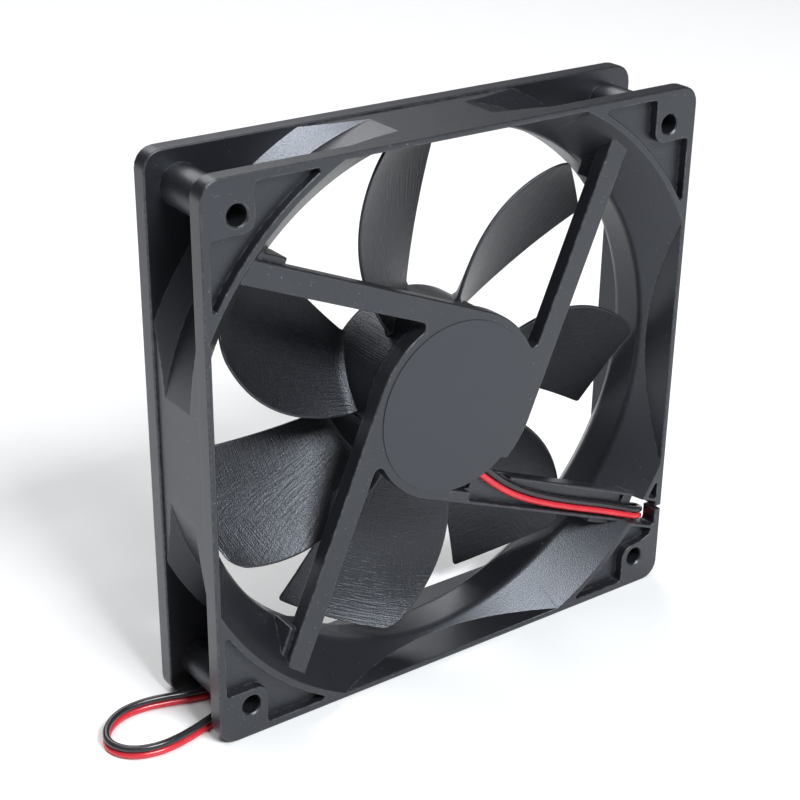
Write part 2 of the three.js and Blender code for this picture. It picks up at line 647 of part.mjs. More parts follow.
// A bar of the terminal, from start to end along the connector, in the middle of its cavity.
function terminalBar(start, end, { width, height }, z) {
  const { y } = CONNECTOR_AT;
  return box([start, end], [y - width / 2, y + width / 2], [z - height / 2, z + height / 2]);
}

function crimpTerminal(z) {
  const start = CONNECTOR_AT.x + 4 * FIT;
  const { length } = TERMINAL_BARREL;
  const barrel = terminalBar(start, start + length, TERMINAL_BARREL, z);
  const socket = terminalBar(start + length - 4 * FIT, connectorEnd - 6 * FIT, TERMINAL_SOCKET, z);
  const mouth = terminalBar(connectorEnd - length, connectorEnd, TERMINAL_MOUTH, z);
  return barrel.add(socket).subtract(mouth);
}

// ---- Assembly ----

const materials = {
  frame: new THREE.MeshStandardMaterial({ color: 0x45464b, roughness: 0.55, metalness: 0 }),
  impeller: new THREE.MeshStandardMaterial({ color: 0x3b3c41, roughness: 0.5, metalness: 0 }),
  label: new THREE.MeshStandardMaterial({ color: 0x50535b, roughness: 0.6, metalness: 0 }),
  brass: new THREE.MeshStandardMaterial({ color: 0xb5924c, roughness: 0.35, metalness: 1 }),
  bronze: new THREE.MeshStandardMaterial({ color: 0x8a6a45, roughness: 0.6, metalness: 1 }),
  steel: new THREE.MeshStandardMaterial({ color: 0x9a9ca0, roughness: 0.35, metalness: 1 }),
  magnet: new THREE.MeshStandardMaterial({ color: 0x2a2a2c, roughness: 0.7, metalness: 0.2 }),
  copper: new THREE.MeshStandardMaterial({ color: 0xb5622f, roughness: 0.35, metalness: 1 }),
  board: new THREE.MeshStandardMaterial({ color: 0x2e6b3a, roughness: 0.5, metalness: 0 }),
  chip: new THREE.MeshStandardMaterial({ color: 0x1b1b1d, roughness: 0.6, metalness: 0 }),
  solder: new THREE.MeshStandardMaterial({ color: 0xb9bcc0, roughness: 0.3, metalness: 1 }),
  nylon: new THREE.MeshStandardMaterial({ color: 0xe8e6dd, roughness: 0.5, metalness: 0 }),
  red: new THREE.MeshStandardMaterial({ color: 0xc8363c, roughness: 0.35, metalness: 0 }),
  black: new THREE.MeshStandardMaterial({ color: 0x201d20, roughness: 0.35, metalness: 0 }),
};

const fan = new THREE.Group(); // the fan's own axes, stood up on the frame's bottom edge
fan.rotation.x = Math.PI / 2;
fan.position.z = half;

function add(group, name, shape, material) {
  const geometry = shape.isBufferGeometry ? shape : geometryOf(shape);
  const mesh = new THREE.Mesh(geometry, materials[material]);
  mesh.name = name;
  group.add(mesh);
}

add(fan, "frame", frameMoulding(), "frame");
add(fan, "hub_label", hubLabel(), "label");
add(fan, "bearing_tube", bearingTube(), "brass");
add(fan, "sleeve_bearing", sleeveBearing(), "bronze");
add(fan, "thrust_pad", thrustPad(), "nylon");
add(fan, "circuit_board", circuitBoard(), "board");
add(fan, "hall_sensor", chip(HALL_SENSOR), "chip");
add(fan, "driver_chip", chip(DRIVER_CHIP), "chip");
add(fan, "capacitor", chip(CAPACITOR), "bronze");
add(fan, "stator_core", statorSection(stackBottom, stackTop), "steel");
add(fan, "stator_insulator_exhaust", insulator(1), "nylon");
add(fan, "stator_insulator_intake", insulator(-1), "nylon");
for (let index = 0; index < STATOR.arms; index += 1) add(fan, `coil_${index + 1}`, coil(index), "copper");
for (let index = 0; index < PIN.count; index += 1) {
  add(fan, `winding_pin_${index + 1}`, windingPin(index), "solder");
}

add(fan, "impeller", impeller(), "impeller");
add(fan, "yoke_cup", yokeCup(), "steel");
add(fan, "ring_magnet", ringMagnet(), "magnet");
add(fan, "shaft", turned(shaftProfile(), ROUND_SMALL), "steel");
add(fan, "shaft_bush", shaftBush(), "brass");
add(fan, "oil_ring", oilRing(), "chip");
add(fan, "retaining_clip", retainingClip(), "nylon");
add(fan, "clip_washer", clipWasher(), "nylon");

const cabling = new THREE.Group(); // the row's own axes
add(cabling, "lead_red", lead(RED_ROUTE), "red");
add(cabling, "lead_black", lead(BLACK_ROUTE), "black");
add(cabling, "connector_housing", connectorHousing(), "nylon");
add(cabling, "terminal_red", crimpTerminal(cavityHeights[0]), "solder");
add(cabling, "terminal_black", crimpTerminal(cavityHeights[1]), "solder");

const part = new THREE.Group();
part.add(fan);
part.add(cabling);

export default part;
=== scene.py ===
import math

import bpy
from mathutils import Matrix, Vector


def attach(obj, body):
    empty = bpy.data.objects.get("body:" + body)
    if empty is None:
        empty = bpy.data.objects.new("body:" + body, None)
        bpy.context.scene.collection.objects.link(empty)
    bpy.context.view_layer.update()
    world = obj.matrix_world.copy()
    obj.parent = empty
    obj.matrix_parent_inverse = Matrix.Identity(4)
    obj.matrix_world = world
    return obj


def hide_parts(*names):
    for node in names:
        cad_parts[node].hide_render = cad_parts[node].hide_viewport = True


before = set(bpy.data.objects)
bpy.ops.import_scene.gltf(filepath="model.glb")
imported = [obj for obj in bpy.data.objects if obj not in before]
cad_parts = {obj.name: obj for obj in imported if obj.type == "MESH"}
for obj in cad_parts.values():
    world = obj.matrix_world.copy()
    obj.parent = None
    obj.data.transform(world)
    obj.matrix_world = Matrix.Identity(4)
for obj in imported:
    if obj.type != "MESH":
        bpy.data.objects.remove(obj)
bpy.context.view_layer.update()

# ---- Camera ----
# It stands to the left of the fan's exhaust side and above it, and looks down over the hub.
# The roll is the small lean of a tripod's head.

EYE = (-0.1959, -0.2610, 0.2123)
LOOK_AZIMUTH = math.radians(35.84)
LOOK_DOWN = math.radians(25.4)
ROLL = math.radians(0.78)
FOCAL_LENGTH = 76.3


def camera_turn():
    level = math.cos(LOOK_DOWN)
    forward = Vector((math.sin(LOOK_AZIMUTH) * level, math.cos(LOOK_AZIMUTH) * level, -math.sin(LOOK_DOWN)))
    side = Vector((math.cos(LOOK_AZIMUTH), -math.sin(LOOK_AZIMUTH), 0))
    above = side.cross(forward)
    right = math.cos(ROLL) * side + math.sin(ROLL) * above
    up = math.cos(ROLL) * above - math.sin(ROLL) * side
    return Matrix((right, up, -forward)).transposed()


camera = bpy.data.objects.new("camera", bpy.data.cameras.new("camera"))
camera.data.lens = FOCAL_LENGTH
camera.data.clip_start = 0.01
camera.matrix_world = Matrix.Translation(EYE) @ camera_turn().to_4x4()
bpy.context.collection.objects.link(camera)
bpy.context.scene.camera = camera

# ---- Lead: two PVC insulated wires ----
# Red and black stranded wires, 1.5 mm over the insulation, soldered to the board in the hub. They lie in the
# wire channel, turn back through the flange, run down to the floor and end in the connector.

WIRE_DIAMETER = 0.0015
RED_ROUTE = [
    (2.2, -8.6, 45.8), (4.4, -8.8, 44.4), (6.7, -9.2, 42.3), (9.8, -9.3, 39.3), (13.8, -9.3, 35.9),
    (18.9, -9.3, 32.4), (25.9, -9.3, 28.7), (35.1, -9.3, 24.6), (44.3, -9.5, 20.9), (50.5, -10.0, 18.3),
    (53.4, -10.5, 17.2), (55.9, -9.7, 16.2), (57.2, -7.6, 15.5), (56.8, -5.3, 15.0), (54.8, -3.7, 14.4),
    (52.0, -3.3, 13.4), (49.1, -2.8, 11.8), (46.9, -1.7, 9.3), (45.4, -0.5, 6.9), (44.2, 0.2, 4.2),
    (41.8, 0.5, 2.0), (38.2, 0.6, 1.1), (33.0, 0.6, 0.85), (16.0, 0.6, 0.8), (-16.0, 0.6, 0.8),
    (-26.0, 1.1, 0.8), (-33.0, 1.7, 0.8), (-40.0, 2.3, 0.8), (-47.0, 3.0, 0.8), (-54.0, 4.0, 0.8),
    (-60.5, 5.9, 0.8), (-66.5, 7.5, 0.8), (-72.5, 7.2, 0.8), (-77.3, 4.0, 0.8), (-79.3, -0.6, 0.8),
    (-77.0, -5.2, 0.8), (-71.5, -7.4, 0.8), (-65.0, -7.0, 0.8), (-59.0, -5.4, 0.8), (-53.0, -3.6, 0.8),
    (-48.0, -2.9, 0.85), (-44.6, -2.8, 1.15), (-42.3, -2.8, 1.32),
]
BLACK_ROUTE = [
    (2.9, -8.6, 47.4), (5.1, -8.8, 46.0), (7.4, -9.2, 43.9), (10.5, -9.3, 40.9), (14.5, -9.3, 37.4),
    (19.6, -9.3, 33.9), (26.5, -9.3, 30.2), (35.7, -9.3, 26.1), (44.7, -9.5, 22.5), (50.8, -10.0, 19.9),
    (53.6, -10.5, 18.8), (56.0, -9.7, 17.9), (57.3, -7.6, 17.2), (56.9, -5.3, 16.8), (54.8, -3.7, 16.2),
    (51.6, -3.1, 15.2), (48.1, -1.9, 13.3), (45.3, 0.0, 10.6), (43.9, 1.4, 7.6), (42.4, 2.1, 4.6),
    (39.8, 2.2, 2.2), (36.2, 2.2, 1.2), (31.0, 2.2, 0.85), (16.0, 2.2, 0.8), (-16.0, 2.2, 0.8),
    (-26.0, 2.7, 0.85), (-33.0, 3.0, 1.6), (-40.0, 2.9, 2.3), (-47.0, 3.0, 2.36), (-54.0, 4.0, 2.36),
    (-60.5, 5.9, 2.36), (-66.5, 7.5, 2.36), (-72.5, 7.2, 2.36), (-77.3, 4.0, 2.36), (-79.3, -0.6, 2.36),
    (-77.0, -5.2, 2.36), (-71.5, -7.4, 2.36), (-65.0, -7.0, 2.36), (-59.0, -5.4, 2.36), (-53.0, -3.6, 2.36),
    (-48.0, -2.9, 2.45), (-44.6, -2.8, 3.4), (-42.3, -2.8, 3.86),
]


class Wire:
    """A socket of a node tree, on which Python's operators add Math nodes."""

    def __init__(self, tree, socket):
        self.tree = tree
        self.socket = socket

    def maths(self, operation, *values):
        node = self.tree.nodes.new("ShaderNodeMath")
        node.operation = operation
        for socket, value in zip(node.inputs, values):
            plug(self.tree, socket, value)
        return Wire(self.tree, node.outputs[0])

    def __add__(self, other):
        return self.maths("ADD", self, other)

    def __radd__(self, other):
        return self.maths("ADD", other, self)

    def __sub__(self, other):
        return self.maths("SUBTRACT", self, other)

    def __rsub__(self, other):
        return self.maths("SUBTRACT", other, self)

    def __mul__(self, other):
        return self.maths("MULTIPLY", self, other)

    def __rmul__(self, other):
        return self.maths("MULTIPLY", other, self)

    def __truediv__(self, other):
        return self.maths("DIVIDE", self, other)

    def __rtruediv__(self, other):
        return self.maths("DIVIDE", other, self)

    def least(self, other):
        return self.maths("MINIMUM", self, other)

    def most(self, other):
        return self.maths("MAXIMUM", self, other)

    def root(self):
        return self.maths("SQRT", self)

    def sine(self):
        return self.maths("SINE", self)

    def cosine(self):
        return self.maths("COSINE", self)

    def floor(self):
        return self.maths("FLOOR", self)

    def outputs(self):
        """Every output of the node that this one comes from."""
        return [Wire(self.tree, output) for output in self.socket.node.outputs]


def plug(tree, socket, value):
    if isinstance(value, Wire):
        tree.links.new(value.socket, socket)
    elif socket.type == "RGBA" and len(value) == 3:
        socket.default_value = (*value, 1)
    else:
        socket.default_value = value


class Nodes:
    """A node tree that grows by one method: a node's type, its settings, and what its sockets hold."""

    def __init__(self, tree):
        self.tree = tree

    def add(self, kind, settings=None, sockets=None, out=0):
        node = self.tree.nodes.new(kind)
        for name, value in (settings or {}).items():
            setattr(node, name, value)
        for name, value in (sockets or {}).items():
            plug(self.tree, node.inputs[name], value)
        return Wire(self.tree, node.outputs[out]) if node.outputs else node

    def noise(self, place, scale, detail=2.0, roughness=0.5):
        sockets = {"Vector": place, "Scale": scale, "Detail": detail, "Roughness": roughness}
        return self.add("ShaderNodeTexNoise", None, sockets)

    def step(self, value, start, end):
        """0 below start, 1 above end and smooth between them."""
        sockets = {"Value": value, "From Min": start, "From Max": end}
        return self.add("ShaderNodeMapRange", {"interpolation_type": "SMOOTHSTEP"}, sockets)

    def mix(self, factor, first, second):
        """A colour between two others, which a Mix node has in its sockets 6 and 7 and its third output."""
        sockets = {0: factor, 6: first, 7: second}
        return self.add("ShaderNodeMix", {"data_type": "RGBA"}, sockets, out=2)

    def bump(self, height, distance, strength=1.0, normal=None):
        sockets = {"Height": height, "Distance": distance, "Strength": strength}
        if normal:
            sockets["Normal"] = normal
        return self.add("ShaderNodeBump", None, sockets)

    def surface(self, sockets):
        shader = self.add("ShaderNodeBsdfPrincipled", None, sockets)
        self.add("ShaderNodeOutputMaterial", None, {"Surface": shader})


def material(name):
    """An empty material, its nodes and the Object coordinates that every pattern here is laid out in."""
    made = bpy.data.materials.new(name)
    made.use_nodes = True
    made.node_tree.nodes.clear()
    nodes = Nodes(made.node_tree)
    return made, nodes, nodes.add("ShaderNodeTexCoord", None, None, out=3)


def pvc(name, colour, deep):
    """Extruded PVC: glossy, with a faint drawn waviness and the dull touch marks of handling."""
    made, nodes, place = material(name)
    handling = nodes.step(nodes.noise(place, 420, 3), 0.42, 0.68)
    ripple = nodes.noise(place, 700, 1)
    nodes.surface({
        "Base Color": nodes.mix(nodes.noise(place, 160, 2), colour, deep),
        "Roughness": 0.20 + 0.14 * handling,
        "Normal": nodes.bump(ripple, 0.00002, 0.12),
        "Specular IOR Level": 0.5,
    })
    return made


def flowing_line(route, steps=12, step_length=0.00025, passes=60):
    """A centripetal curve through the route's points, in even steps, relaxed so that no bend is too tight."""
    points = [Vector(point) / 1000 for point in route]
    points = [2 * points[0] - points[1], *points, 2 * points[-1] - points[-2]]
    line = []
    for p0, p1, p2, p3 in zip(points, points[1:], points[2:], points[3:]):
        t1 = (p1 - p0).length ** 0.5
        t2 = t1 + (p2 - p1).length ** 0.5
        t3 = t2 + (p3 - p2).length ** 0.5
        for step in range(steps):
            t = t1 + (t2 - t1) * step / steps
            a1 = p0.lerp(p1, t / t1)
            a2 = p1.lerp(p2, (t - t1) / (t2 - t1))
            a3 = p2.lerp(p3, (t - t2) / (t3 - t2))
            b1 = a1.lerp(a2, t / t2)
            b2 = a2.lerp(a3, (t - t1) / (t3 - t1))
            line.append(b1.lerp(b2, (t - t1) / (t2 - t1)))
    line.append(points[-2])
    even = [line[0]]
    left_over = 0.0
    for near, far in zip(line, line[1:]):
        length = (far - near).length
        while left_over + length >= step_length:
            share = (step_length - left_over) / length
            near = near.lerp(far, share)
            length = (far - near).length
            even.append(near)
            left_over = 0.0
        left_over += length
    even[-1] = line[-1]
    for _ in range(passes):
        inside = [(before + 2 * here + after) / 4 for before, here, after in zip(even, even[1:], even[2:])]
        even = [even[0], *inside, even[-1]]
    return even


def wire(name, route, finish):
    line = flowing_line(route)
    curve = bpy.data.curves.new(name, "CURVE")
    curve.dimensions = "3D"
    spline = curve.splines.new("POLY")
    spline.points.add(len(line) - 1)
    for point, place in zip(spline.points, line):
        point.co = (*place, 1)
    spline.use_smooth = True
    curve.bevel_depth = WIRE_DIAMETER / 2
    curve.bevel_resolution = 5
    curve.use_fill_caps = True
    curve.materials.append(finish)
    made = bpy.data.objects.new(name, curve)
    bpy.context.collection.objects.link(made)
    return made


def lay_wire(name, route, finish):
    made = wire(name + "_wire", route, finish)
    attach(made, "housing")
    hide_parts(name)
    return made


red_pvc = pvc("lead_red_pvc", (0.70, 0.040, 0.055), (0.52, 0.022, 0.035))
black_pvc = pvc("lead_black_pvc", (0.016, 0.014, 0.017), (0.030, 0.026, 0.030))
red_wire = lay_wire("lead_red", RED_ROUTE, red_pvc)
black_wire = lay_wire("lead_black", BLACK_ROUTE, black_pvc)

# ---- Studio ----
# A pale floor that runs on past the view, a soft box in front of the fan's exhaust side, a weaker one above
# it, and one behind that keeps the floor bright. Nothing here is part of the fan.

FLOOR_HALF = 8
AXIS_HEIGHT = 0.060


def pale_floor():
    made, nodes, place = material("pale_floor")
    fibres = nodes.noise(place, 60, 4)
    nodes.surface({
        "Base Color": nodes.mix(fibres, (0.91, 0.91, 0.91), (0.94, 0.94, 0.94)),
        "Roughness": 0.85,
        "Specular IOR Level": 0.1,
    })
    return made


def soft_box(name, place, aim, size, power, tint):
    light = bpy.data.lights.new(name, "AREA")
    light.shape = "RECTANGLE"
    light.size = size[0]
    light.size_y = size[1]
    light.energy = power
    light.color = tint
    made = bpy.data.objects.new(name, light)
    made.location = place
    made.rotation_euler = (Vector(aim) - Vector(place)).to_track_quat("-Z", "Y").to_euler()
    bpy.context.collection.objects.link(made)


floor_mesh = bpy.data.meshes.new("floor")
floor_corners = [(x * FLOOR_HALF, y * FLOOR_HALF, 0) for x, y in ((-1, -1), (1, -1), (1, 1), (-1, 1))]
floor_mesh.from_pydata(floor_corners, [], [(0, 1, 2, 3)])
floor_mesh.materials.append(pale_floor())
floor = bpy.data.objects.new("floor", floor_mesh)
bpy.context.collection.objects.link(floor)

middle = (0, 0, AXIS_HEIGHT)
soft_box("front_box", (0.05, -0.95, 0.98), middle, (0.5, 0.4), 21, (0.95, 0.975, 1.0))
soft_box("top_box", (-0.3, 0.1, 1.3), middle, (0.9, 0.9), 7, (0.98, 0.99, 1.0))
soft_box("back_box", (0.3, 1.3, 1.3), (0, 0.4, 0), (1.2, 0.9), 14, (1.0, 1.0, 1.0))

world = bpy.data.worlds.new("studio")
world.use_nodes = True
background = world.node_tree.nodes["Background"]
background.inputs["Color"].default_value = (0.96, 0.98, 1, 1)
background.inputs["Strength"].default_value = 0.08
bpy.context.scene.world = world
bpy.context.scene.view_settings.view_transform = "Standard"

# ---- Frame ----
# One injection moulding in charcoal plastic: two square flanges, the duct with its flared mouths, four corner
# posts, four slanted struts and the hub's base with the wire channel. Sizes are in millimetres in the fan's
# own axes, x right, y up and z out of the exhaust side.

FRAME_HALF = 60
FACE = 12.5
FLANGE = 4
FLANGE_CORNER = 4
EDGE = 0.4
THROAT = 57.6
DUCT_RADIUS = 60.5
DUCT_STRAIGHT = (-5.5, 4.2)
DUCT_RIM = (65.05, 65.97)
DUCT_INSET = 2
SIDE_FLAT = 59.4
MOUTH_FLAT = 58.7
EXHAUST_MOUTH = (65.8, 9.6)
INTAKE_MOUTH = (65.0, 7.2)
LIP_WALL = 1.4
POCKET_DEPTH = 2
POCKET_EDGE = 58.2
LAND_EDGE = 48.7
LAND_ROUND = 2.5
POCKET_TIP = 0.5
POCKET_CORNER = 0.8
SCREW_AT = 52.5
SCREW_RADIUS = 2.15
POST_RADIUS = 4.25
HUB_RADIUS = 21
HUB_FRONT = 10.6
HUB_ROOM = 19.8
PLATE_BACK = 8.8
SKIRT_END = 6.6
TUBE_ROOM = 4.1
STRUT_TURN = math.radians(-22.5)
STRUT_INNER = (15.85, 15.85, 13.5, 15.85)
STRUT_DEPTH = 3.5
STRUT_FILLET = 1.3
GUSSET_ACROSS = (16.8, 22.4)
CHANNEL_FLOOR = 8.4
CHANNEL_END_FLOOR = 8.95
CHANNEL_WALLS = (14.3, 20.2)
DUCT_SIDES = 192
HUB_SIDES = 128
SCREW_SIDES = 48
TO_ROW = Matrix(((0.001, 0, 0, 0), (0, 0, -0.001, 0), (0, 0.001, 0, AXIS_HEIGHT), (0, 0, 0, 1)))


def arc(centre, radius, start, end, steps):
    """Points on an arc between two angles in degrees, both ends included."""
    angles = [math.radians(start + (end - start) * k / steps) for k in range(steps + 1)]
    return [(centre[0] + radius * math.cos(a), centre[1] + radius * math.sin(a)) for a in angles]


def rounded_corner(before, corner, after, radius, steps=5):
    """The arc of that radius that touches both sides of a corner."""
    before, corner, after = Vector(before), Vector(corner), Vector(after)
    near, far = (before - corner).normalized(), (after - corner).normalized()
    half_angle = math.acos(max(-1, min(1, near.dot(far)))) / 2
    reach = radius / math.tan(half_angle)
    centre = corner + (near + far).normalized() * radius / math.sin(half_angle)
    start, end = corner + near * reach - centre, corner + far * reach - centre
    turn = math.atan2(start.x * end.y - start.y * end.x, start.dot(end))
    return [tuple(centre + Matrix.Rotation(turn * k / steps, 2) @ start) for k in range(steps + 1)]


def eased(outline, radii):
    """A closed outline with each corner rounded by its own radius, or left sharp where that is 0."""
    points = []
    for k, (corner, radius) in enumerate(zip(outline, radii)):
        if radius:
            points += rounded_corner(outline[k - 1], corner, outline[(k + 1) % len(outline)], radius)
        else:
            points.append(corner)
    return points


def grown(outline, amount):
    """The outline moved outwards by an amount, for points that run anticlockwise."""
    points = [Vector(point) for point in outline]
    shifted = []
    for k, point in enumerate(points):
        sides = [(point - points[k - 1]).normalized(), (points[(k + 1) % len(points)] - point).normalized()]
        first, second = [Vector((side.y, -side.x)) for side in sides]
        shifted.append(tuple(point + (first + second) * amount / (1 + first.dot(second))))
    return shifted


def shell(name, points, faces):
    """An object in the scene with these points and faces."""
    mesh = bpy.data.meshes.new(name)
    mesh.from_pydata(points, [], faces)
    made = bpy.data.objects.new(name, mesh)
    bpy.context.collection.objects.link(made)
    return made


def prism(name, outline, levels):
    """A closed solid over an outline; each level is a height and how far the outline has grown there."""
    area = sum(a[0] * b[1] - a[1] * b[0] for a, b in zip(outline, outline[1:] + outline[:1]))
    outline = outline if area > 0 else outline[::-1]
    count = len(outline)
    points = [(*point, height) for height, growth in levels for point in grown(outline, growth)]
    faces = [tuple(reversed(range(count))), tuple(range(len(points) - count, len(points)))]
    for level in range(len(levels) - 1):
        for k in range(count):
            low, high = level * count, (level + 1) * count
            faces.append((low + k, low + (k + 1) % count, high + (k + 1) % count, high + k))
    return shell(name, points, faces)


def soft_levels(bottom, top, low_edge=0.0, high_edge=0.0, steps=4):
    """A solid's levels, with rounded edges at its bottom and its top."""
    turns = [math.pi / 2 * k / steps for k in range(steps + 1)]
    low = [(bottom + low_edge * (1 - math.cos(t)), -low_edge * (1 - math.sin(t))) for t in turns]
    high = [(top - high_edge * (1 - math.sin(t)), -high_edge * (1 - math.cos(t))) for t in turns]
    return (low if low_edge else [(bottom, 0)]) + (high if high_edge else [(top, 0)])


def cutter_levels(bottom, face, edge, past=1.0, steps=4):
    """A cutter's levels: it leaves a rounded edge where it comes out of a face above its bottom."""
    levels = [(bottom, 0)]
    for k in range(steps + 1):
        angle = math.pi / 2 * k / steps
        levels.append((face - edge + edge * math.sin(angle), edge * (1 - math.cos(angle))))
    return [*levels, (face + past, edge)]


def turned(name, profile, sides):
    """A solid of revolution about z from a profile of (radius, height) that runs up its outside."""
    points, rings, faces = [], [], []
    for radius, height in profile:
        if radius == 0:
            rings.append([len(points)] * sides)
            points.append((0, 0, height))
            continue
        rings.append([len(points) + k for k in range(sides)])
        angles = [2 * math.pi * k / sides for k in range(sides)]
        points += [(radius * math.cos(a), radius * math.sin(a), height) for a in angles]
    if profile[0][0] > 0:
        rings.append(rings[0])
    for lower, upper in zip(rings, rings[1:]):
        for k in range(sides):
            following = (k + 1) % sides
            corners = dict.fromkeys((lower[k], lower[following], upper[following], upper[k]))
            if len(corners) > 2:
                faces.append(tuple(corners))
    return shell(name, points, faces)


def ring(name, inner, outer, bottom, top, sides):
    return turned(name, [(inner, bottom), (outer, bottom), (outer, top), (inner, top)], sides)


def carve(solid, tool, operation):
    """Joins the tool to the solid, cuts it away, or keeps what both share. The tool is used up."""
    change = solid.modifiers.new("carve", "BOOLEAN")
    change.solver = "MANIFOLD"
    change.operation = operation
    change.object = tool
    result = bpy.data.meshes.new_from_object(solid.evaluated_get(bpy.context.evaluated_depsgraph_get()))
    solid.modifiers.remove(change)
    solid.data = result
    bpy.data.objects.remove(tool)
    return solid


def join(solid, *tools):
    for tool in tools:
        carve(solid, tool, "UNION")
    return solid


def cut(solid, *tools):
    for tool in tools:
        carve(solid, tool, "DIFFERENCE")
    return solid


def moved(solid, matrix):
    solid.data.transform(matrix)
    return solid


def quarter_turn(quarters):
    return Matrix.Rotation(math.pi / 2 * quarters, 4, "Z")


def copies(make):
    """One of something in each corner, or on each side, a quarter turn apart."""
    return [moved(make(), quarter_turn(corner)) for corner in range(4)]


def square(half_side, radius=0.0):
    corners = [(half_side * x, half_side * y) for x, y in ((1, 1), (-1, 1), (-1, -1), (1, -1))]
    return eased(corners, [radius] * 4)


FLIP = Matrix.Rotation(math.pi, 4, "X")
HEIGHTS = {1: (FACE - FLANGE, FACE), -1: (-FACE, FLANGE - FACE)}


def flange(side):
    outline = square(FRAME_HALF, FLANGE_CORNER)
    bottom, top = HEIGHTS[side]
    return prism("flange", outline, soft_levels(bottom, top, EDGE, EDGE))


def duct():
    """The duct's outside: round, wider towards both flanges, and planed flat on the four sides."""
    low_rim, high_rim = DUCT_RIM
    end = FACE - DUCT_INSET
    intake = [(0, -end), (low_rim, -end), (low_rim, FLANGE - FACE), (DUCT_RADIUS, DUCT_STRAIGHT[0])]
    exhaust = [(DUCT_RADIUS, DUCT_STRAIGHT[1]), (high_rim, FACE - FLANGE), (high_rim, end), (0, end)]
    sides = prism("sides", square(SIDE_FLAT), [(-FACE, 0), (FACE, 0)])
    return carve(turned("duct", [*intake, *exhaust], DUCT_SIDES), sides, "INTERSECT")


def mouth_points(mouth, growth, edge):
    """The profile from the throat out through a mouth, its rim rounded over onto the face."""
    radius, depth = mouth
    throat = (THROAT + growth, FACE - depth)
    rim = (radius + growth, FACE)
    bend = rounded_corner((THROAT + growth, 0), throat, rim, 3, 4)
    lip = rounded_corner(throat, rim, (radius + 20, FACE), edge, 4)
    return [*bend, *lip, (lip[-1][0], FACE + 1)]


def bore(growth=0.0, edge=EDGE):
    """The air's way through the duct, which widens at both mouths and is flat beside the four sides."""
    intake = [(radius, -height) for radius, height in reversed(mouth_points(INTAKE_MOUTH, growth, edge))]
    exhaust = mouth_points(EXHAUST_MOUTH, growth, edge)
    body = turned("bore", [(0, intake[0][1]), *intake, *exhaust, (0, exhaust[-1][1])], DUCT_SIDES)
    inner = square(MOUTH_FLAT + growth / 2)
    upper = cutter_levels(0, FACE, EDGE)
    lower = [(-height, out) for height, out in reversed(upper[1:])]
    return carve(body, prism("flats", inner, [*lower, *upper[1:]]), "INTERSECT")


def pocket_tip(radius):
    """Where the lip meets a pocket's straight border: an arc that touches both, and the lip's angle."""
    middle = POCKET_EDGE - POCKET_TIP
    up = math.sqrt((radius + POCKET_TIP) ** 2 - middle ** 2)
    lean = math.degrees(math.atan2(up, middle))
    return arc((middle, up), POCKET_TIP, 180 + lean, 360, 8), lean


def pocket(radius):
    """The sunk corner between a mouth's lip and the flange's border, with the screw's land left standing."""
    first, lean = pocket_tip(radius)
    second = [point[::-1] for point in reversed(first)]
    land = (LAND_EDGE, LAND_EDGE)
    sides = [(POCKET_EDGE, LAND_EDGE), (LAND_EDGE, POCKET_EDGE)]
    around = [
        *rounded_corner(first[-1], sides[0], land, POCKET_CORNER),
        *rounded_corner(sides[0], land, sides[1], LAND_ROUND),
        *rounded_corner(land, sides[1], second[0], POCKET_CORNER),
    ]
    return [*first, *around, *second, *arc((0, 0), radius, 90 - lean, lean, 16)[1:-1]]


def beside_channel(along, across):
    """A point from its distances along the channel's strut and across it, both from the fan's middle."""
    return tuple(Matrix.Rotation(math.pi + STRUT_TURN, 2) @ Vector((-along, across)))


def channel_outline(points, radii):
    return eased([beside_channel(*point) for point in points], radii)


def lip_point(radius, across):
    return beside_channel(math.sqrt(radius ** 2 - across ** 2), across)


def channel_pockets(radius):
    """At the channel's end the pocket is cut in two: one part has a finger over the screw's land."""
    tip, lean = pocket_tip(radius)
    tip = [(y, -x) for x, y in tip]
    wall = lip_point(radius, HUB_RADIUS)
    border = [
        (LAND_EDGE, -POCKET_EDGE), (LAND_EDGE, -49.6), (54.2, -48.9), (56.9, -47.9), (57.3, -46.5), wall,
    ]
    start = math.degrees(math.atan2(wall[1], wall[0]))
    lip = arc((0, 0), radius, start, lean - 90, 12)[1:-1]
    sides = [tip[-1], *border, lip[0]]
    fingers = [
        point for k, rounding in enumerate((1.0, 3.0, 3.0, 0.6, 0.6, 0.4))
        for point in rounded_corner(sides[k], sides[k + 1], sides[k + 2], rounding)
    ]
    upper_end = (POCKET_EDGE, -math.sqrt(radius ** 2 - POCKET_EDGE ** 2))
    out = (POCKET_EDGE, -38.72)
    upper = eased([lip_point(radius, STRUT_INNER[2]), out, upper_end], [0.4, 0.4, 0.4])
    return [[*tip, *fingers, *lip], upper]


def corner_pockets():
    """All the pockets' cutters, for the exhaust face and, turned over, for the intake face."""
    levels = cutter_levels(FACE - POCKET_DEPTH, FACE, 0.25)
    made = []
    for mouth, side in ((EXHAUST_MOUTH, 1), (INTAKE_MOUTH, -1)):
        outline = pocket(mouth[0] + LIP_WALL)
        for quarter in range(4):
            if side == 1 and quarter == 3:
                continue
            tool = moved(prism("pocket", outline, levels), quarter_turn(quarter))
            made.append(tool if side == 1 else moved(tool, FLIP))
    made += [prism("pocket", outline, levels) for outline in channel_pockets(EXHAUST_MOUTH[0] + LIP_WALL)]
    return made


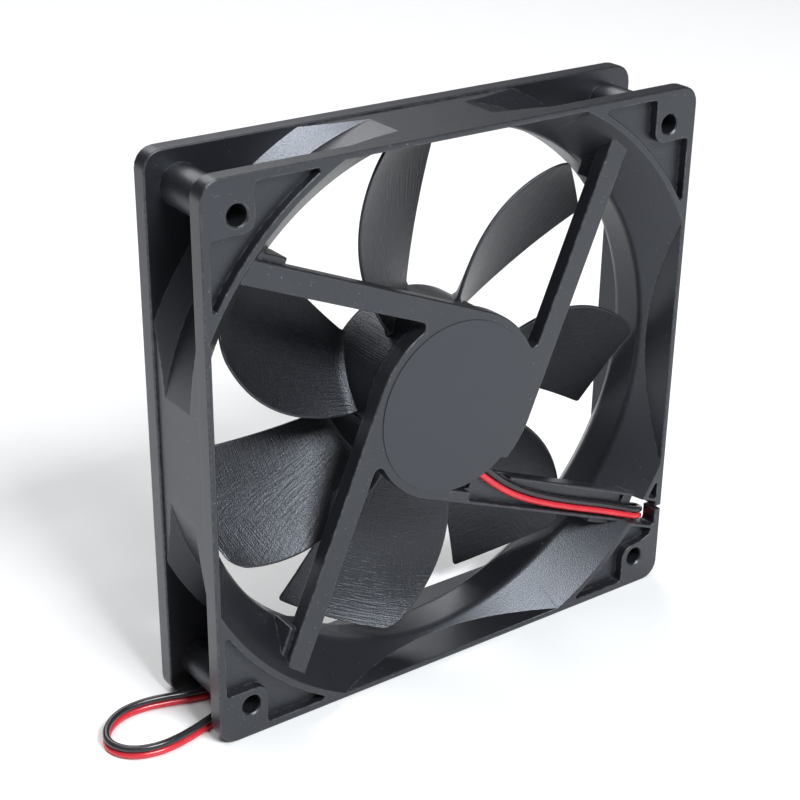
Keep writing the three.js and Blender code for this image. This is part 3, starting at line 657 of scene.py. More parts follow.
def spider_outline():
    """The hub and its four struts as one outline: each strut leaves the hub along a tangent."""
    points = []
    for turn in range(4):
        inner = STRUT_INNER[-turn % 4]
        centre_height = inner - STRUT_FILLET
        along = math.sqrt((HUB_RADIUS + STRUT_FILLET) ** 2 - centre_height ** 2)
        landing = math.degrees(math.atan2(centre_height, -along))
        quarter = [(0, HUB_RADIUS), (-70, HUB_RADIUS), (-70, inner)]
        quarter += arc((-along, centre_height), STRUT_FILLET, 90, landing - 180, 8)
        quarter += arc((0, 0), HUB_RADIUS, landing, 180, 24)[1:-1]
        rotation = Matrix.Rotation(STRUT_TURN + math.pi / 2 * turn, 2)
        points += [tuple(rotation @ Vector(point)) for point in quarter]
    return points


def gusset():
    """The strut's root is deeper where it runs into the duct, and stands out past the strut's outer side."""
    side = [(-52.6, -1.5), (-52.6, -7.6), (-66, -7.6), (-66, -1.5)]
    made = prism("gusset", eased(side, [0.4, 0.4, 0, 0]), soft_levels(*GUSSET_ACROSS, 0.3, 0.3))
    upright = Matrix(((1, 0, 0, 0), (0, 0, 1, 0), (0, 1, 0, HUB_FRONT), (0, 0, 0, 1)))
    moved(made, Matrix.Rotation(STRUT_TURN, 4, "Z") @ upright)
    made.data.flip_normals()
    return made


def spider():
    body = prism("spider", spider_outline(), soft_levels(HUB_FRONT - STRUT_DEPTH, HUB_FRONT, 0.3, 0.35))
    join(body, *copies(gusset))
    cut(body, turned("room", [(0, 0), (HUB_ROOM, 0), (HUB_ROOM, PLATE_BACK), (0, PLATE_BACK)], HUB_SIDES))
    join(body, ring("skirt", HUB_ROOM, HUB_RADIUS - 0.05, SKIRT_END, PLATE_BACK + 0.2, HUB_SIDES))
    join(body, ring("boss", TUBE_ROOM, TUBE_ROOM + 1.4, SKIRT_END - 0.1, PLATE_BACK + 0.2, SCREW_SIDES))
    return carve(body, bore(0.9, 0.3), "INTERSECT")


def channel_tools():
    """The wire channel, its window under the label, its hole through the flange and the slit to the edge."""
    upper, lower = CHANNEL_WALLS
    floor_cut = [
        (5, 9.5), (18.8, 9.5), (18.8, 12.3), (22, 12.3), (22, upper), (61.3, upper), (61.3, lower),
        (12, lower), (12, 18.2), (5, 18.2),
    ]
    channel = channel_outline(floor_cut, [0.8, 0, 0, 0, 0.38, 0, 0, 0.8, 0.4, 0.8])
    outer = channel_outline([(60, upper), (66.5, upper), (66.5, lower), (60, lower)], [0] * 4)
    window = channel_outline([(5, 9.5), (13, 9.5), (13, 18.2), (5, 18.2)], [0.8, 0.4, 0.4, 0.8])
    near = [beside_channel(64.3, wall) for wall in CHANNEL_WALLS]
    keyhole = eased([*near, (POCKET_EDGE, -45.97), (POCKET_EDGE, -39.58)], [0.5, 0.5, 0.8, 0.8])
    below = FACE - FLANGE - 1
    slit = eased([(57, -40.8), (61, -40.8), (61, -42.7), (59.7, -41.75), (57, -41.75)], [0, 0, 0.3, 0.3, 0])
    return [
        prism("channel", channel, cutter_levels(CHANNEL_FLOOR, HUB_FRONT, 0.2, 3)),
        prism("channel_end", outer, cutter_levels(CHANNEL_END_FLOOR, FACE, 0.2)),
        prism("window", window, [(7.4, 0), (FACE + 1, 0)]),
        prism("keyhole", keyhole, cutter_levels(below, FACE, 0.3)),
        prism("slit", slit, cutter_levels(below, FACE, 0.15)),
    ]


def screw_hole():
    edge = 0.3
    profile = [
        (0, -FACE - 1), (SCREW_RADIUS + edge, -FACE - 1), (SCREW_RADIUS + edge, -FACE),
        (SCREW_RADIUS, edge - FACE), (SCREW_RADIUS, FACE - edge), (SCREW_RADIUS + edge, FACE),
        (SCREW_RADIUS + edge, FACE + 1), (0, FACE + 1),
    ]
    return moved(turned("hole", profile, SCREW_SIDES), Matrix.Translation((SCREW_AT, SCREW_AT, 0)))


def post():
    profile = [(0, 1 - FACE), (POST_RADIUS, 1 - FACE), (POST_RADIUS, FACE - 1), (0, FACE - 1)]
    return moved(turned("post", profile, SCREW_SIDES), Matrix.Translation((SCREW_AT, SCREW_AT, 0)))


def lead_groove():
    """A shallow groove across the duct's bottom, where the lead passes under it."""
    return prism("groove", [(-17, -61), (17, -61), (16, -58.35), (-16, -58.35)], [(-3.25, 0), (0.45, 0)])


def frame_moulding():
    body = flange(1)
    join(body, flange(-1), duct(), *copies(post))
    cut(body, bore(), *corner_pockets())
    join(body, spider())
    tube_room = [(0, 5), (TUBE_ROOM, 5), (TUBE_ROOM, PLATE_BACK), (0, PLATE_BACK)]
    cut(body, turned("tube_room", tube_room, SCREW_SIDES))
    cut(body, *channel_tools(), lead_groove(), *copies(screw_hole))
    return body


def finished(solid, name, body, finish, smooth_angle=32, place=TO_ROW):
    """The carved solid as a finished piece in the row's own place, with smooth rounds and flat flats."""
    moved(solid, place)
    solid.name = name
    solid.data.name = name
    solid.data.materials.clear()
    solid.data.materials.append(finish)
    solid.data.shade_smooth()
    solid.data.set_sharp_from_angle(angle=math.radians(smooth_angle))
    even = solid.modifiers.new("even", "WEIGHTED_NORMAL")
    even.keep_sharp = True
    solid.data = bpy.data.meshes.new_from_object(solid.evaluated_get(bpy.context.evaluated_depsgraph_get()))
    solid.modifiers.clear()
    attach(solid, body)
    return solid


def edge_turn(nodes, radius):
    """How little the surface turns within a radius: 1 on a flat face and less towards an edge."""
    rounded = nodes.add("ShaderNodeBevel", {"samples": 4}, {"Radius": radius})
    flat = nodes.add("ShaderNodeNewGeometry", None, None, out=1)
    return nodes.add("ShaderNodeVectorMath", {"operation": "DOT_PRODUCT"}, {0: rounded, 1: flat}, out=1)


def moulded(name, colour, pale_wear_and_highlight, roughness, grain):
    """Spark-eroded charcoal plastic: a fine even grain, cloudy sheen, edges drawn paler (partly rubbed wear,
    partly a painted highlight), and dust.
    """
    made, nodes, place = material(name)
    scuffs = nodes.noise(place, 900, 3)
    # Edge mask: it lightens the base colour along edges. This is partly rubbed wear and partly a painted
    # highlight of the light that edges catch.
    edge = nodes.step(edge_turn(nodes, 0.0005), 0.992, 0.93) * nodes.step(scuffs, 0.40, 0.62)
    cloud = nodes.noise(place, 45, 3)
    speckle = nodes.noise(place, 4300, 1)
    dust = nodes.step(nodes.noise(place, 2600, 0), 0.83, 0.86)
    # Painted highlight and wear: edges take the paler colour, and the cloud varies the tone at random.
    rubbed_and_lit = nodes.mix(edge * 0.75, nodes.mix(cloud, colour, [c * 0.82 for c in colour]), pale_wear_and_highlight)
    peppered = nodes.mix(nodes.step(speckle, 0.5, 0.78) * 0.35, rubbed_and_lit, [c * 1.7 for c in colour])
    nodes.surface({
        "Base Color": nodes.mix(dust * 0.4, peppered, (0.30, 0.30, 0.30)),
        "Roughness": roughness + 0.10 * cloud - 0.06 * edge,
        "Normal": nodes.bump(speckle, grain, 0.8, nodes.bump(cloud, 0.0001, 0.2)),
        "Specular IOR Level": 0.72,
        "Specular Tint": (0.86, 0.91, 1.0),
    })
    return made


# The third colour is the edges' paler tone. It is partly rubbed wear and partly a painted highlight.
frame_plastic = moulded("frame_plastic", (0.0120, 0.0125, 0.0155), (0.11, 0.11, 0.12), 0.32, 0.00005)
frame_piece = finished(frame_moulding(), "frame_moulding", "housing", frame_plastic)
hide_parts("frame")

# ---- Hub label ----
# A round film stuck on the hub's face, left blank. Its rim lies 1.85 mm inside the hub's edge.

LABEL_RADIUS = HUB_RADIUS - 1.85
LABEL_BACK = 10.62
LABEL_FACE = 10.8


def label_film():
    made, nodes, place = material("label_film")
    cloud = nodes.noise(place, 120, 3)
    fibre = nodes.noise(place, 3800, 2)
    rubs = nodes.step(nodes.noise(place, 260, 4, 0.7), 0.60, 0.75)
    nodes.surface({
        "Base Color": nodes.mix(cloud, (0.026, 0.029, 0.037), (0.030, 0.033, 0.041)),
        "Roughness": 0.50 + 0.08 * cloud - 0.05 * rubs,
        "Normal": nodes.bump(fibre, 0.00001, 0.4, nodes.bump(cloud, 0.00005, 0.3)),
    })
    return made


label_profile = [
    (0, LABEL_BACK), (LABEL_RADIUS, LABEL_BACK), (LABEL_RADIUS, LABEL_FACE - 0.05),
    (LABEL_RADIUS - 0.05, LABEL_FACE), (0, LABEL_FACE),
]
label_disc = turned("label", label_profile, HUB_SIDES)
label = finished(label_disc, "label_sheet", "housing", label_film(), 60)
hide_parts("hub_label")

# ---- Impeller ----
# A second moulding in black plastic: a cup with seven swept blades that thin out towards their tips. The
# blades' faces have the cross hatch of the cutter that made the mould.

ROTOR_RADIUS = 20.3
ROTOR_CAP = -11.6
ROTOR_RIM = 5.9
ROTOR_WALL = 1.1
BUSH_ROOM = 3.7


def geometry_tree(name, given):
    """A new Geometry Nodes tree with named inputs, its nodes, and the inputs' sockets by name."""
    tree = bpy.data.node_groups.new(name, "GeometryNodeTree")
    for input_name, (kind, value) in given.items():
        item = tree.interface.new_socket(name=input_name, in_out="INPUT", socket_type="NodeSocket" + kind)
        if value is not None:
            item.default_value = value
    tree.interface.new_socket(name="Geometry", in_out="OUTPUT", socket_type="NodeSocketGeometry")
    nodes = Nodes(tree)
    return tree, nodes, dict(zip(given, nodes.add("NodeGroupInput").outputs()))


def coated_copies(nodes, given, placed):
    """The tree's end: real copies in the given material."""
    real = nodes.add("GeometryNodeRealizeInstances", None, {0: placed})
    coated = nodes.add("GeometryNodeSetMaterial", None, {"Geometry": real, "Material": given["Material"]})
    nodes.add("NodeGroupOutput", None, {"Geometry": coated})


def grown_by(name, tree, values):
    """The mesh that a Geometry Nodes tree makes with these inputs."""
    seed = shell(name, [], [])
    change = seed.modifiers.new("grow", "NODES")
    change.node_group = tree
    for item in tree.interface.items_tree:
        if item.in_out == "INPUT" and item.name in values:
            change[item.identifier] = values[item.name]
    result = bpy.data.meshes.new_from_object(seed.evaluated_get(bpy.context.evaluated_depsgraph_get()))
    seed.modifiers.clear()
    seed.data = result
    return seed


def blade_tree():
    """A cube's grid bent into a blade: x runs along the chord, y through the thickness and z to the tip."""
    tree, nodes, given = geometry_tree("fan_blades", {
        "Count": ("Int", 7), "Root radius": ("Float", 19.75), "Tip radius": ("Float", 56.4),
        "Leading height": ("Float", -10.5), "Trailing height": ("Float", 2.5), "Thickness": ("Float", 1.7),
        "Edge": ("Float", 0.7), "Leading corner": ("Float", 1.0), "Trailing corner": ("Float", 2.7),
        "Material": ("Material", None),
    })
    counts = {"Size": (1, 1, 1), "Vertices X": 57, "Vertices Y": 3, "Vertices Z": 41}
    cube = nodes.add("GeometryNodeMeshCube", None, counts)
    x, y, z = nodes.add("ShaderNodeSeparateXYZ", None, {0: nodes.add("GeometryNodeInputPosition")}).outputs()
    chord = 0.5 - 0.5 * ((x + 0.5) * math.pi).cosine()
    out = ((z + 0.5) * (math.pi / 2)).sine()
    reach = given["Tip radius"] - given["Root radius"]
    radius = given["Root radius"] + reach * out
    leading = 87 - 6 * out
    sweep = 39.5 + 3.5 * out - 19.5 * out * out
    rise = given["Trailing height"] - given["Leading height"]
    arc_length = sweep * (math.pi / 180) * radius
    length = (arc_length * arc_length + rise * rise).root()
    gap = reach * (1 - out)

    def inset(corner):
        short = (corner - gap).most(0)
        return (corner - (corner * corner - short * short).most(0).root()) / length

    first, last = inset(given["Leading corner"]), inset(given["Trailing corner"])
    along = first + chord * (1 - first - last)

    def rounding(distance, across):
        short = (1 - distance / across).most(0)
        return (1 - short * short).most(0).root()

    bulge = 4 * chord * (1 - chord)
    thin = given["Edge"] + (given["Thickness"] - given["Edge"]) * bulge * (1 - 0.35 * out)
    root = (1 - reach * out / 1.6).most(0)
    rounds = rounding(chord.least(1 - chord) * length, 0.35) * rounding(gap, 0.3)
    thickness = (thin + 1.8 * root * root) * rounds
    slope = rise * (0.55 + 0.9 * along)
    face = (arc_length * arc_length + slope * slope).root()
    offset = y * thickness
    degrees = leading + sweep * along
    angle = degrees * (math.pi / 180) + offset * slope / face / radius
    climb = rise * (0.55 * along + 0.45 * along * along)
    place = nodes.add("ShaderNodeCombineXYZ", None, {
        0: radius * angle.cosine(), 1: radius * angle.sine(),
        2: given["Leading height"] + climb - offset * arc_length / face,
    })
    bent = nodes.add("GeometryNodeSetPosition", None, {"Geometry": cube, "Position": place})
    sealed = nodes.add("GeometryNodeMergeByDistance", None, {"Geometry": bent, "Distance": 0.002})
    ring_points = nodes.add("GeometryNodeMeshLine", None, {"Count": given["Count"], "Offset": (0, 0, 0)})
    turn = nodes.add("GeometryNodeInputIndex") * (2 * math.pi) / given["Count"]
    turned_by = nodes.add("ShaderNodeCombineXYZ", None, {2: turn})
    around = nodes.add("GeometryNodeInstanceOnPoints", None, {
        "Points": ring_points, "Instance": sealed, "Rotation": turned_by,
    })
    coated_copies(nodes, given, around)
    return tree


def rotor_cup():
    inner = ROTOR_RADIUS - ROTOR_WALL
    side = eased([
        (0, ROTOR_CAP + 0.45), (0.9, ROTOR_CAP + 0.45), (1.1, ROTOR_CAP + 0.2), (15.8, ROTOR_CAP + 0.2),
        (16.1, ROTOR_CAP), (ROTOR_RADIUS - 0.2, ROTOR_CAP), (ROTOR_RADIUS, ROTOR_RIM), (inner, ROTOR_RIM),
        (inner, -10), (0, -10),
    ], [0, 0.1, 0.1, 0.1, 0.1, 1.6, 0.3, 0.3, 0.5, 0])
    cup = turned("cup", side, 160)
    return join(cup, ring("boss", BUSH_ROOM, BUSH_ROOM + 1.4, -10.1, -7.9, 64))


def round_the_axis(nodes, place):
    """A point's angle round the fan's axis, its distance from it and its depth along it."""
    x, depth, height = nodes.add("ShaderNodeSeparateXYZ", None, {0: place}).outputs()
    up = height - AXIS_HEIGHT
    return up.maths("ARCTAN2", up, x), (x * x + up * up).root(), depth


def hatched_plastic(name, colour, pale_wear_and_highlight):
    """The moulding plastic again, with fine streaks that run outwards and round the axis."""
    made, nodes, place = material(name)
    angle, out, _ = round_the_axis(nodes, place)

    def streaks(across, along, detail):
        vector = nodes.add("ShaderNodeCombineXYZ", None, {0: out * across, 1: angle * along})
        return nodes.noise(vector, 1.0, detail)

    radial = streaks(240, 66, 3)
    round_about = streaks(3000, 9, 3)
    patches = nodes.step(nodes.noise(place, 55, 2), 0.38, 0.62)
    hatch = radial * (0.35 + 0.65 * patches) + round_about * (0.9 - 0.6 * patches)
    scuffs = nodes.noise(place, 700, 3)
    # Edge mask: edges drawn paler. This is partly rubbed wear and partly a painted highlight.
    edge = nodes.step(edge_turn(nodes, 0.0006), 0.985, 0.80) * nodes.step(scuffs, 0.32, 0.6)
    speckle = nodes.noise(place, 4200, 2)
    base = nodes.mix(nodes.noise(place, 60, 3), colour, [c * 0.75 for c in colour])
    peppered = nodes.mix(nodes.step(speckle, 0.5, 0.8) * 0.5, base, pale_wear_and_highlight)
    nodes.surface({
        # Painted highlight and wear: edges take the pale colour, which the speckle also uses.
        "Base Color": nodes.mix(edge * 0.7, peppered, pale_wear_and_highlight),
        "Roughness": 0.22 + 0.22 * hatch - 0.08 * edge,
        "Normal": nodes.bump(hatch, 0.00016, 0.8, nodes.bump(speckle, 0.00010, 0.8)),
        "Specular IOR Level": 0.78,
        "Specular Tint": (0.86, 0.91, 1.0),
    })
    return made


# The third colour is the pale tone of the speckle and of the edges. On the edges it is partly wear and partly
# a painted highlight.
impeller_plastic = hatched_plastic("impeller_plastic", (0.008, 0.008, 0.010), (0.06, 0.06, 0.07))
blades = grown_by("blades", blade_tree(), {"Count": 7, "Trailing corner": 2.7, "Material": impeller_plastic})
impeller = join(rotor_cup(), blades)
finished(impeller, "impeller_moulding", "rotor", impeller_plastic, 40)
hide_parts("impeller")

# ---- Bearing and rotor metal ----
# Turned and pressed parts round the shaft: brass tube, oil-filled bronze sleeve, nylon pad, clip and washer,
# steel shaft in its brass bush, rubber oil ring, and the drawn steel yoke with its ferrite ring magnet.

SHAFT_RADIUS = 1.55
SHAFT_START = -9.9
SHAFT_END = 7.9
SHAFT_GROOVE = (7.1, 7.65)
SHAFT_ROOM = SHAFT_RADIUS + 0.1
BEARING_RADIUS = 2.9
BUSH_RADIUS = 3.6
BUSH_END = -7.8
YOKE_RADIUS = 19.1
YOKE_WALL = 0.8


def metal(name, colour, roughness, lines, spot=0.25):
    """Turned, drawn or plated metal with fine lines round the axis, cloudy handling marks and small pits."""
    made, nodes, place = material(name)
    _, out, depth = round_the_axis(nodes, place)
    vector = nodes.add("ShaderNodeCombineXYZ", None, {0: out * lines, 1: depth * lines})
    turning = nodes.noise(vector, 1.0, 2)
    cloud = nodes.noise(place, 300, 4)
    pits = nodes.step(nodes.noise(place, 2600, 1), 0.66, 0.76)
    nodes.surface({
        "Base Color": nodes.mix(cloud * 0.6 + pits * spot, colour, [c * 0.55 for c in colour]),
        "Metallic": 1.0,
        "Roughness": roughness + 0.18 * cloud + 0.12 * pits,
        "Normal": nodes.bump(turning, 0.00001, 0.4, nodes.bump(pits, -0.00002, 0.4)),
    })
    return made


def plain_solid(name, colour, roughness, grain, cloudy=0.75):
    """Moulded nylon, rubber, ferrite or epoxy: cloudy colour, fine grain and small marks."""
    made, nodes, place = material(name)
    cloud = nodes.noise(place, 260, 3)
    fine = nodes.noise(place, 4500, 2)
    marks = nodes.step(nodes.noise(place, 900, 4, 0.7), 0.58, 0.72)
    nodes.surface({
        "Base Color": nodes.mix(cloud, colour, [c * cloudy for c in colour]),
        "Roughness": roughness + 0.10 * cloud - 0.08 * marks,
        "Normal": nodes.bump(fine, grain, 0.5, nodes.bump(marks, 0.00002, 0.3)),
    })
    return made


def soft_ring(name, inner, outer, bottom, top, edge, sides=64):
    """A turned ring, or a disc where inner is 0, with rounded edges."""
    near = 0 if inner == 0 else edge
    corners = [(inner, bottom), (outer, bottom), (outer, top), (inner, top)]
    return turned(name, eased(corners, [near, edge, edge, near]), sides)


def fitted(solid, body, finish, node, place=TO_ROW):
    made = finished(solid, node + "_piece", body, finish, 40, place)
    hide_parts(node)
    return made


brass = metal("brass", (0.72, 0.50, 0.22), 0.25, 30000)
bronze = metal("sintered_bronze", (0.45, 0.30, 0.16), 0.48, 6000, 0.6)
shaft_steel = metal("shaft_steel", (0.62, 0.63, 0.65), 0.16, 40000, 0.1)
yoke_steel = metal("yoke_steel", (0.52, 0.53, 0.55), 0.34, 14000)
white_nylon = plain_solid("white_nylon", (0.80, 0.79, 0.74), 0.42, 0.00001, 0.93)
ferrite = plain_solid("ferrite", (0.035, 0.034, 0.036), 0.62, 0.00003)
rubber = plain_solid("oil_rubber", (0.018, 0.018, 0.019), 0.66, 0.00002)

tube = soft_ring("tube", 3, 4, -6.9, 8.6, 0.2)
fitted(tube, "housing", brass, "bearing_tube")
sleeve = turned("sleeve", eased([
    (SHAFT_ROOM, -6.7), (BEARING_RADIUS, -6.7), (BEARING_RADIUS, 6.8), (SHAFT_ROOM, 6.8),
], [0.35, 0.2, 0.2, 0.35]), 64)
fitted(sleeve, "housing", bronze, "sleeve_bearing")
pad = soft_ring("pad", 0, BEARING_RADIUS, 8.0, 8.5, 0.12)
fitted(pad, "housing", white_nylon, "thrust_pad")

shaft = turned("shaft", eased([
    (0, SHAFT_START), (SHAFT_RADIUS, SHAFT_START), (SHAFT_RADIUS, SHAFT_GROOVE[0]), (1.15, SHAFT_GROOVE[0]),
    (1.15, SHAFT_GROOVE[1]), (SHAFT_RADIUS, SHAFT_GROOVE[1]), (SHAFT_RADIUS, SHAFT_END), (0, SHAFT_END),
], [0, 0.15, 0.04, 0.05, 0.05, 0.04, 0.15, 0]), 64)
fitted(shaft, "rotor", shaft_steel, "shaft")
bush = turned("bush", eased([
    (SHAFT_ROOM, SHAFT_START), (BUSH_RADIUS, SHAFT_START), (BUSH_RADIUS, -9.2), (3.45, -9.05),
    (3.45, -8.6), (BUSH_RADIUS, -8.45), (BUSH_RADIUS, BUSH_END), (SHAFT_ROOM, BUSH_END),
], [0.1, 0.15, 0.1, 0.1, 0.1, 0.1, 0.15, 0.1]), 64)
fitted(bush, "rotor", brass, "shaft_bush")
oil_ring = soft_ring("oil", SHAFT_ROOM, BEARING_RADIUS, -7.7, -7.2, 0.2)
fitted(oil_ring, "rotor", rubber, "oil_ring")
washer = soft_ring("washer", SHAFT_ROOM, 2.5, 6.9, 7.1, 0.06)
fitted(washer, "rotor", white_nylon, "clip_washer")
clip_gap = prism("gap", [(0, -0.4), (3, -0.4), (3, 0.4), (0, 0.4)], [(6, 0), (9, 0)])
clip = cut(soft_ring("clip", 1.25, 2.4, 7.2, 7.55, 0.08), clip_gap)
fitted(clip, "rotor", white_nylon, "retaining_clip")
yoke_inner = YOKE_RADIUS - YOKE_WALL
yoke_floor = SHAFT_START + YOKE_WALL
yoke = turned("yoke", eased([
    (5.2, SHAFT_START), (YOKE_RADIUS, SHAFT_START), (YOKE_RADIUS, 5.6), (yoke_inner, 5.6),
    (yoke_inner, yoke_floor), (5.2, yoke_floor),
], [0.2, 0.9, 0.2, 0.2, 0.5, 0.2]), HUB_SIDES)
fitted(yoke, "rotor", yoke_steel, "yoke_cup")
magnet = soft_ring("magnet", 15.8, yoke_inner - 0.1, -7.6, 5.3, 0.35, HUB_SIDES)
fitted(magnet, "rotor", ferrite, "ring_magnet")

# ---- Stator ----
# Stamped steel laminations in a stack of fourteen, a nylon insulator at each end, four copper windings and
# the three tinned pins that take the windings' ends.

ARM_WIDTH = 4
RING_INNER = 4.1
RING_OUTER = 6.2
STATOR_OUTER = 15.2
SHOE_INNER = 12.6
STACK = (-4.65, 2.35)
LAMINATIONS = 14
INSULATOR = 0.7
INSULATOR_EDGE = 0.12
INSULATOR_GAP = 0.1


def arm_outline():
    """One arm with its shoe, as a strip from inside the ring out to the shoe's curved face."""
    spread = 33
    half = ARM_WIDTH / 2
    neck = SHOE_INNER * 0.94
    face = arc((0, 0), STATOR_OUTER, -spread, spread, 18)
    back = arc((0, 0), SHOE_INNER, spread, 11, 8)
    other = [(x, -y) for x, y in reversed(back)]
    return [*face, *back, (neck, half), (5, half), (5, -half), (neck, -half), *other]


def stator_plate(bottom, top, edge):
    """The ring and its four arms, one lamination or one insulator thick."""
    levels = soft_levels(bottom, top, edge, edge, 2)
    body = soft_ring("plate", RING_INNER, RING_OUTER, bottom, top, edge, 96)
    for arm in range(4):
        tool = prism("arm", arm_outline(), levels)
        join(body, moved(tool, Matrix.Rotation(math.radians(45 + 90 * arm), 4, "Z")))
    return body


def stack_tree():
    """Copies of one piece in a row along z."""
    tree, nodes, given = geometry_tree("row_of_copies", {
        "Piece": ("Object", None), "Count": ("Int", 2), "Step": ("Float", 1), "Material": ("Material", None),
    })
    piece = nodes.add("GeometryNodeObjectInfo", None, {"Object": given["Piece"]}, out=4)
    step = nodes.add("ShaderNodeCombineXYZ", None, {2: given["Step"]})
    line = nodes.add("GeometryNodeMeshLine", None, {"Count": given["Count"], "Offset": step})
    placed = nodes.add("GeometryNodeInstanceOnPoints", None, {"Points": line, "Instance": piece})
    coated_copies(nodes, given, placed)
    return tree


lamination_steel = metal("lamination_steel", (0.40, 0.41, 0.43), 0.42, 9000, 0.5)
insulator_nylon = plain_solid("insulator_nylon", (0.72, 0.71, 0.66), 0.45, 0.00002, 0.9)
tin = metal("tin_plate", (0.66, 0.67, 0.69), 0.26, 5000, 0.3)

pitch = (STACK[1] - STACK[0]) / LAMINATIONS
plate = stator_plate(STACK[0], STACK[0] + pitch - 0.03, 0.04)
stack = grown_by("stack", stack_tree(), {
    "Piece": plate, "Count": LAMINATIONS, "Step": pitch, "Material": lamination_steel,
})
bpy.data.objects.remove(plate)
fitted(stack, "housing", lamination_steel, "stator_core")

low, high = STACK[0] - INSULATOR_GAP, STACK[1] + INSULATOR_GAP
intake_insulator = stator_plate(low - INSULATOR, low, INSULATOR_EDGE)
fitted(intake_insulator, "housing", insulator_nylon, "stator_insulator_intake")
exhaust_insulator = stator_plate(high, high + INSULATOR, INSULATOR_EDGE)
seat_outline = eased([(5, -1.2), (10.6, -1.2), (10.6, 1.2), (5, 1.2)], [0, 0.4, 0.4, 0])
for quarter in (1, 2, 3):
    seat_levels = soft_levels(high, high + INSULATOR, INSULATOR_EDGE, INSULATOR_EDGE, 2)
    join(exhaust_insulator, moved(prism("seat", seat_outline, seat_levels), quarter_turn(quarter)))
    pin = moved(soft_ring("pin", 0, 0.35, 3.25, 6.4, 0.1, 24), Matrix.Translation((9.4, 0, 0)))
    fitted(moved(pin, quarter_turn(quarter)), "housing", tin, f"winding_pin_{quarter}")
fitted(exhaust_insulator, "housing", insulator_nylon, "stator_insulator_exhaust")


def coil_tree():
    """Loops of wire round an arm, in layers that each start a little further out than the one below."""
    tree, nodes, given = geometry_tree("wound_coil", {
        "Wire": ("Float", 0.36), "Half width": ("Float", 2.25), "Half height": ("Float", 4.55),
        "Start": ("Float", 6.8), "Turns": ("Int", 13), "Layers": ("Int", 5), "Step": ("Float", 0.2),
        "Material": ("Material", None),
    })
    turns = given["Turns"] * given["Layers"]
    line = nodes.add("GeometryNodeMeshLine", None, {"Count": turns, "Offset": (0, 0, 0)})
    index = nodes.add("GeometryNodeInputIndex")
    layer = (index / given["Turns"]).floor()
    turn = index - layer * given["Turns"]
    growth = (layer + 0.5) * given["Wire"]
    wide = given["Half width"] + growth
    high = given["Half height"] + growth * given["Step"] * 2
    start = given["Start"] + (turn + 0.5) * given["Wire"] + layer * 0.05
    loop = nodes.add("GeometryNodeCurvePrimitiveQuadrilateral", None, {0: 2.0, 1: 2.0})
    place = nodes.add("ShaderNodeCombineXYZ", None, {0: start})
    rotation = nodes.add("ShaderNodeCombineXYZ", None, {0: 0, 1: math.pi / 2})
    size = nodes.add("ShaderNodeCombineXYZ", None, {0: high, 1: wide, 2: 1})
    fine = nodes.add("GeometryNodeFilletCurve", {"mode": "POLY"}, {"Curve": loop, "Count": 5, "Radius": 0.35})
    moved_points = nodes.add("GeometryNodeSetPosition", None, {"Geometry": line, "Position": place})
    around = nodes.add("GeometryNodeInstanceOnPoints", None, {
        "Points": moved_points, "Instance": fine, "Rotation": rotation, "Scale": size,
    })
    real = nodes.add("GeometryNodeRealizeInstances", None, {0: around})
    round_wire = {"Resolution": 8, "Radius": given["Wire"] / 2}
    section = nodes.add("GeometryNodeCurvePrimitiveCircle", None, round_wire)
    strand = nodes.add("GeometryNodeCurveToMesh", None, {0: real, 1: section})
    coated = nodes.add("GeometryNodeSetMaterial", None, {"Geometry": strand, "Material": given["Material"]})
    nodes.add("NodeGroupOutput", None, {"Geometry": coated})
    return tree


copper = metal("copper_winding", (0.62, 0.26, 0.12), 0.22, 2500, 0.2)
wound = coil_tree()
for index in range(4):
    coil = grown_by("coil", wound, {"Turns": 12, "Layers": 5, "Start": 6.75, "Material": copper})
    moved(coil, Matrix.Rotation(math.radians(45 + 90 * index), 4, "Z") @ Matrix.Translation((0, 0, -1.15)))
    fitted(coil, "housing", copper, f"coil_{index + 1}")

# ---- Circuit board and chips ----
# A round glass-epoxy board behind the hub's face, with green solder mask over its copper tracks. It carries
# the Hall sensor, the driver chip and a capacitor.

BOARD_BACK = 6.5
BOARD_FACE = 7.5
DRIVER_ANGLE = 138


def board_finish():
    """Solder mask over copper islands, with the glass cloth's weave just showing in its surface."""
    made, nodes, place = material("circuit_board")
    weave = nodes.add("ShaderNodeTexBrick", {"offset": 0.5}, {
        "Vector": place, "Scale": 1500,
        "Color1": (0.3, 0.3, 0.3), "Color2": (0.6, 0.6, 0.6), "Mortar": (0, 0, 0),
    })
    islands = {"Vector": place, "Scale": 330}
    cells = nodes.add("ShaderNodeTexVoronoi", {"feature": "DISTANCE_TO_EDGE"}, islands)
    tracks = nodes.step(cells, 0.10, 0.14)
    cloud = nodes.noise(place, 220, 3)
    copper_under = nodes.mix(cloud, (0.030, 0.150, 0.060), (0.040, 0.180, 0.075))
    bare = nodes.mix(cloud, (0.018, 0.085, 0.036), (0.022, 0.100, 0.040))
    nodes.surface({
        "Base Color": nodes.mix(tracks, bare, copper_under),
        "Roughness": 0.32 + 0.12 * cloud,
        "Normal": nodes.bump(tracks, 0.00003, 0.5, nodes.bump(weave, 0.00001, 0.2)),
    })
    return made


epoxy = plain_solid("chip_epoxy", (0.020, 0.020, 0.021), 0.55, 0.00002)
ceramic = plain_solid("capacitor_ceramic", (0.42, 0.31, 0.20), 0.45, 0.00001)
board = soft_ring("board", 5.6, 17.3, BOARD_BACK, BOARD_FACE, 0.12, HUB_SIDES)
fitted(board, "housing", board_finish(), "circuit_board")


def block(x, y, z, corner, edge=None):
    """A box with rounded upright corners and softened edges at its bottom and top."""
    edge = corner * 0.8 if edge is None else edge
    outline = [(x[1], y[1]), (x[0], y[1]), (x[0], y[0]), (x[1], y[0])]
    return prism("block", eased(outline, [corner] * 4), soft_levels(*z, edge, edge, 3))


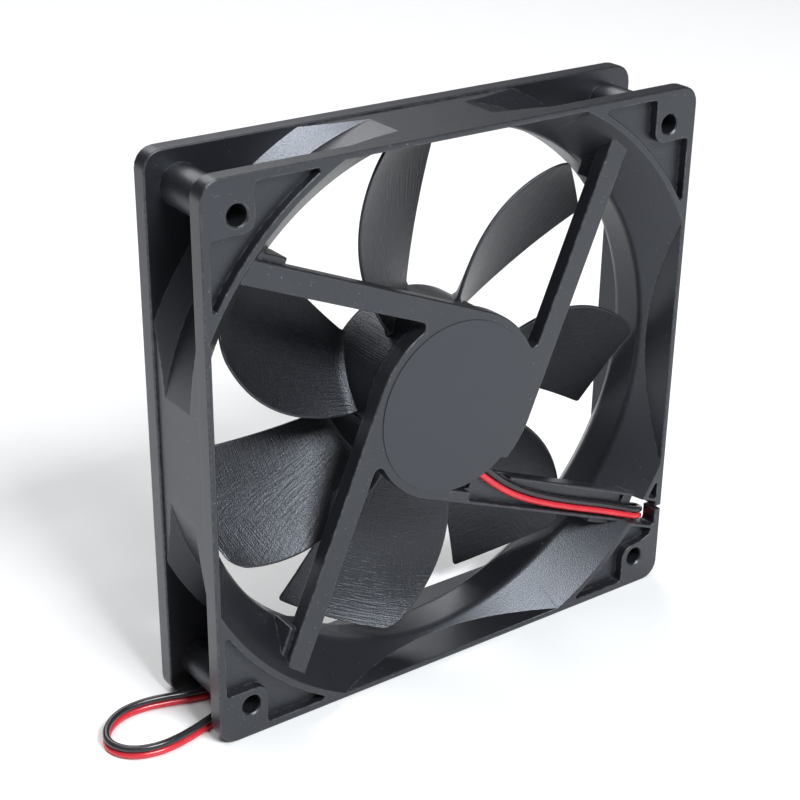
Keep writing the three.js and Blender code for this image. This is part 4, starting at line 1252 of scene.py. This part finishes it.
def chip_at(middle, degrees, width, length, bottom, height, edge):
    """A chip, or a capacitor, at a distance and an angle from the fan's axis."""
    along = (middle - width / 2, middle + width / 2)
    body = block(along, (-length / 2, length / 2), (bottom, bottom + height), edge)
    return moved(body, Matrix.Rotation(math.radians(degrees), 4, "Z"))


sensor = chip_at(14.6, 90, 1.6, 4, BOARD_BACK - 0.9, 0.8, 0.12)
fitted(sensor, "housing", epoxy, "hall_sensor")
driver = chip_at(12, DRIVER_ANGLE, 4, 5, BOARD_FACE + 0.1, 1, 0.15)
dot = turned("dot", [(0, 8.5), (0.3, 8.5), (0.3, 9), (0, 9)], 24)
moved(dot, Matrix.Translation((10.6, 1.8, 0)))
cut(driver, moved(dot, Matrix.Rotation(math.radians(DRIVER_ANGLE), 4, "Z")))
fitted(driver, "housing", epoxy, "driver_chip")
capacitor = chip_at(12, 222, 1.3, 2, BOARD_FACE + 0.1, 1, 0.15)
fitted(capacitor, "housing", ceramic, "capacitor")

# ---- Connector ----
# The lead's two-way housing in white nylon lies on its side on the floor, with a tinned crimp terminal in
# each of its cavities and a latch window to each terminal.

ROW_MM = Matrix.Scale(0.001, 4)
CONNECTOR_START = -42
CONNECTOR_END = -30.5
CONNECTOR_MIDDLE = -2.8
CONNECTOR_HALF = 2.6
CONNECTOR_HEIGHTS = (0.05, 5.13)
CAVITY_HEIGHTS = (1.32, 3.86)
CAVITY_HALF = 1.9
CAVITY_HALF_HEIGHT = 0.92
LATCH = (3, 6)


def about(middle, half):
    return middle - half, middle + half


housing = block(
    (CONNECTOR_START, CONNECTOR_END), about(CONNECTOR_MIDDLE, CONNECTOR_HALF), CONNECTOR_HEIGHTS, 0.3,
)
for height in CAVITY_HEIGHTS:
    length = (CONNECTOR_START - 1, CONNECTOR_END + 1)
    room = block(length, about(CONNECTOR_MIDDLE, CAVITY_HALF), about(height, CAVITY_HALF_HEIGHT), 0.15)
    opening = (CONNECTOR_START + LATCH[0], CONNECTOR_START + LATCH[1])
    window = block(opening, (CONNECTOR_MIDDLE, 1), about(height, 0.6), 0.15)
    cut(housing, room, window)
connector_nylon = plain_solid("connector_nylon", (0.78, 0.77, 0.72), 0.38, 0.00001, 0.93)
housing_piece = fitted(housing, "housing", connector_nylon, "connector_housing", ROW_MM)


def terminal(height):
    """A crimp barrel with its two folded wings, a neck and the box that takes the pin."""
    def bar(start, end, width, tall, corner):
        return block((start, end), about(CONNECTOR_MIDDLE, width / 2), about(height, tall / 2), corner)

    first_wings = bar(-41.6, -39.9, 1.4, 1.2, 0.3)
    waist = bar(-40.0, -39.3, 1.0, 0.8, 0.2)
    second_wings = bar(-39.4, -37.9, 1.3, 1.15, 0.3)
    neck = bar(-38.1, -37.0, 1.0, 0.8, 0.2)
    pin_box = bar(-37.2, -31.1, 2, 1.4, 0.25)
    body = join(first_wings, waist, second_wings, neck, pin_box)
    return cut(body, bar(-34.5, -30, 0.9, 0.7, 0.1), bar(-36.2, -35.2, 0.8, 3, 0.1))


def end_wire(height, node):
    crimped = fitted(terminal(height), "housing", tin, node, ROW_MM)


end_wire(CAVITY_HEIGHTS[0], "terminal_red")
end_wire(CAVITY_HEIGHTS[1], "terminal_black")
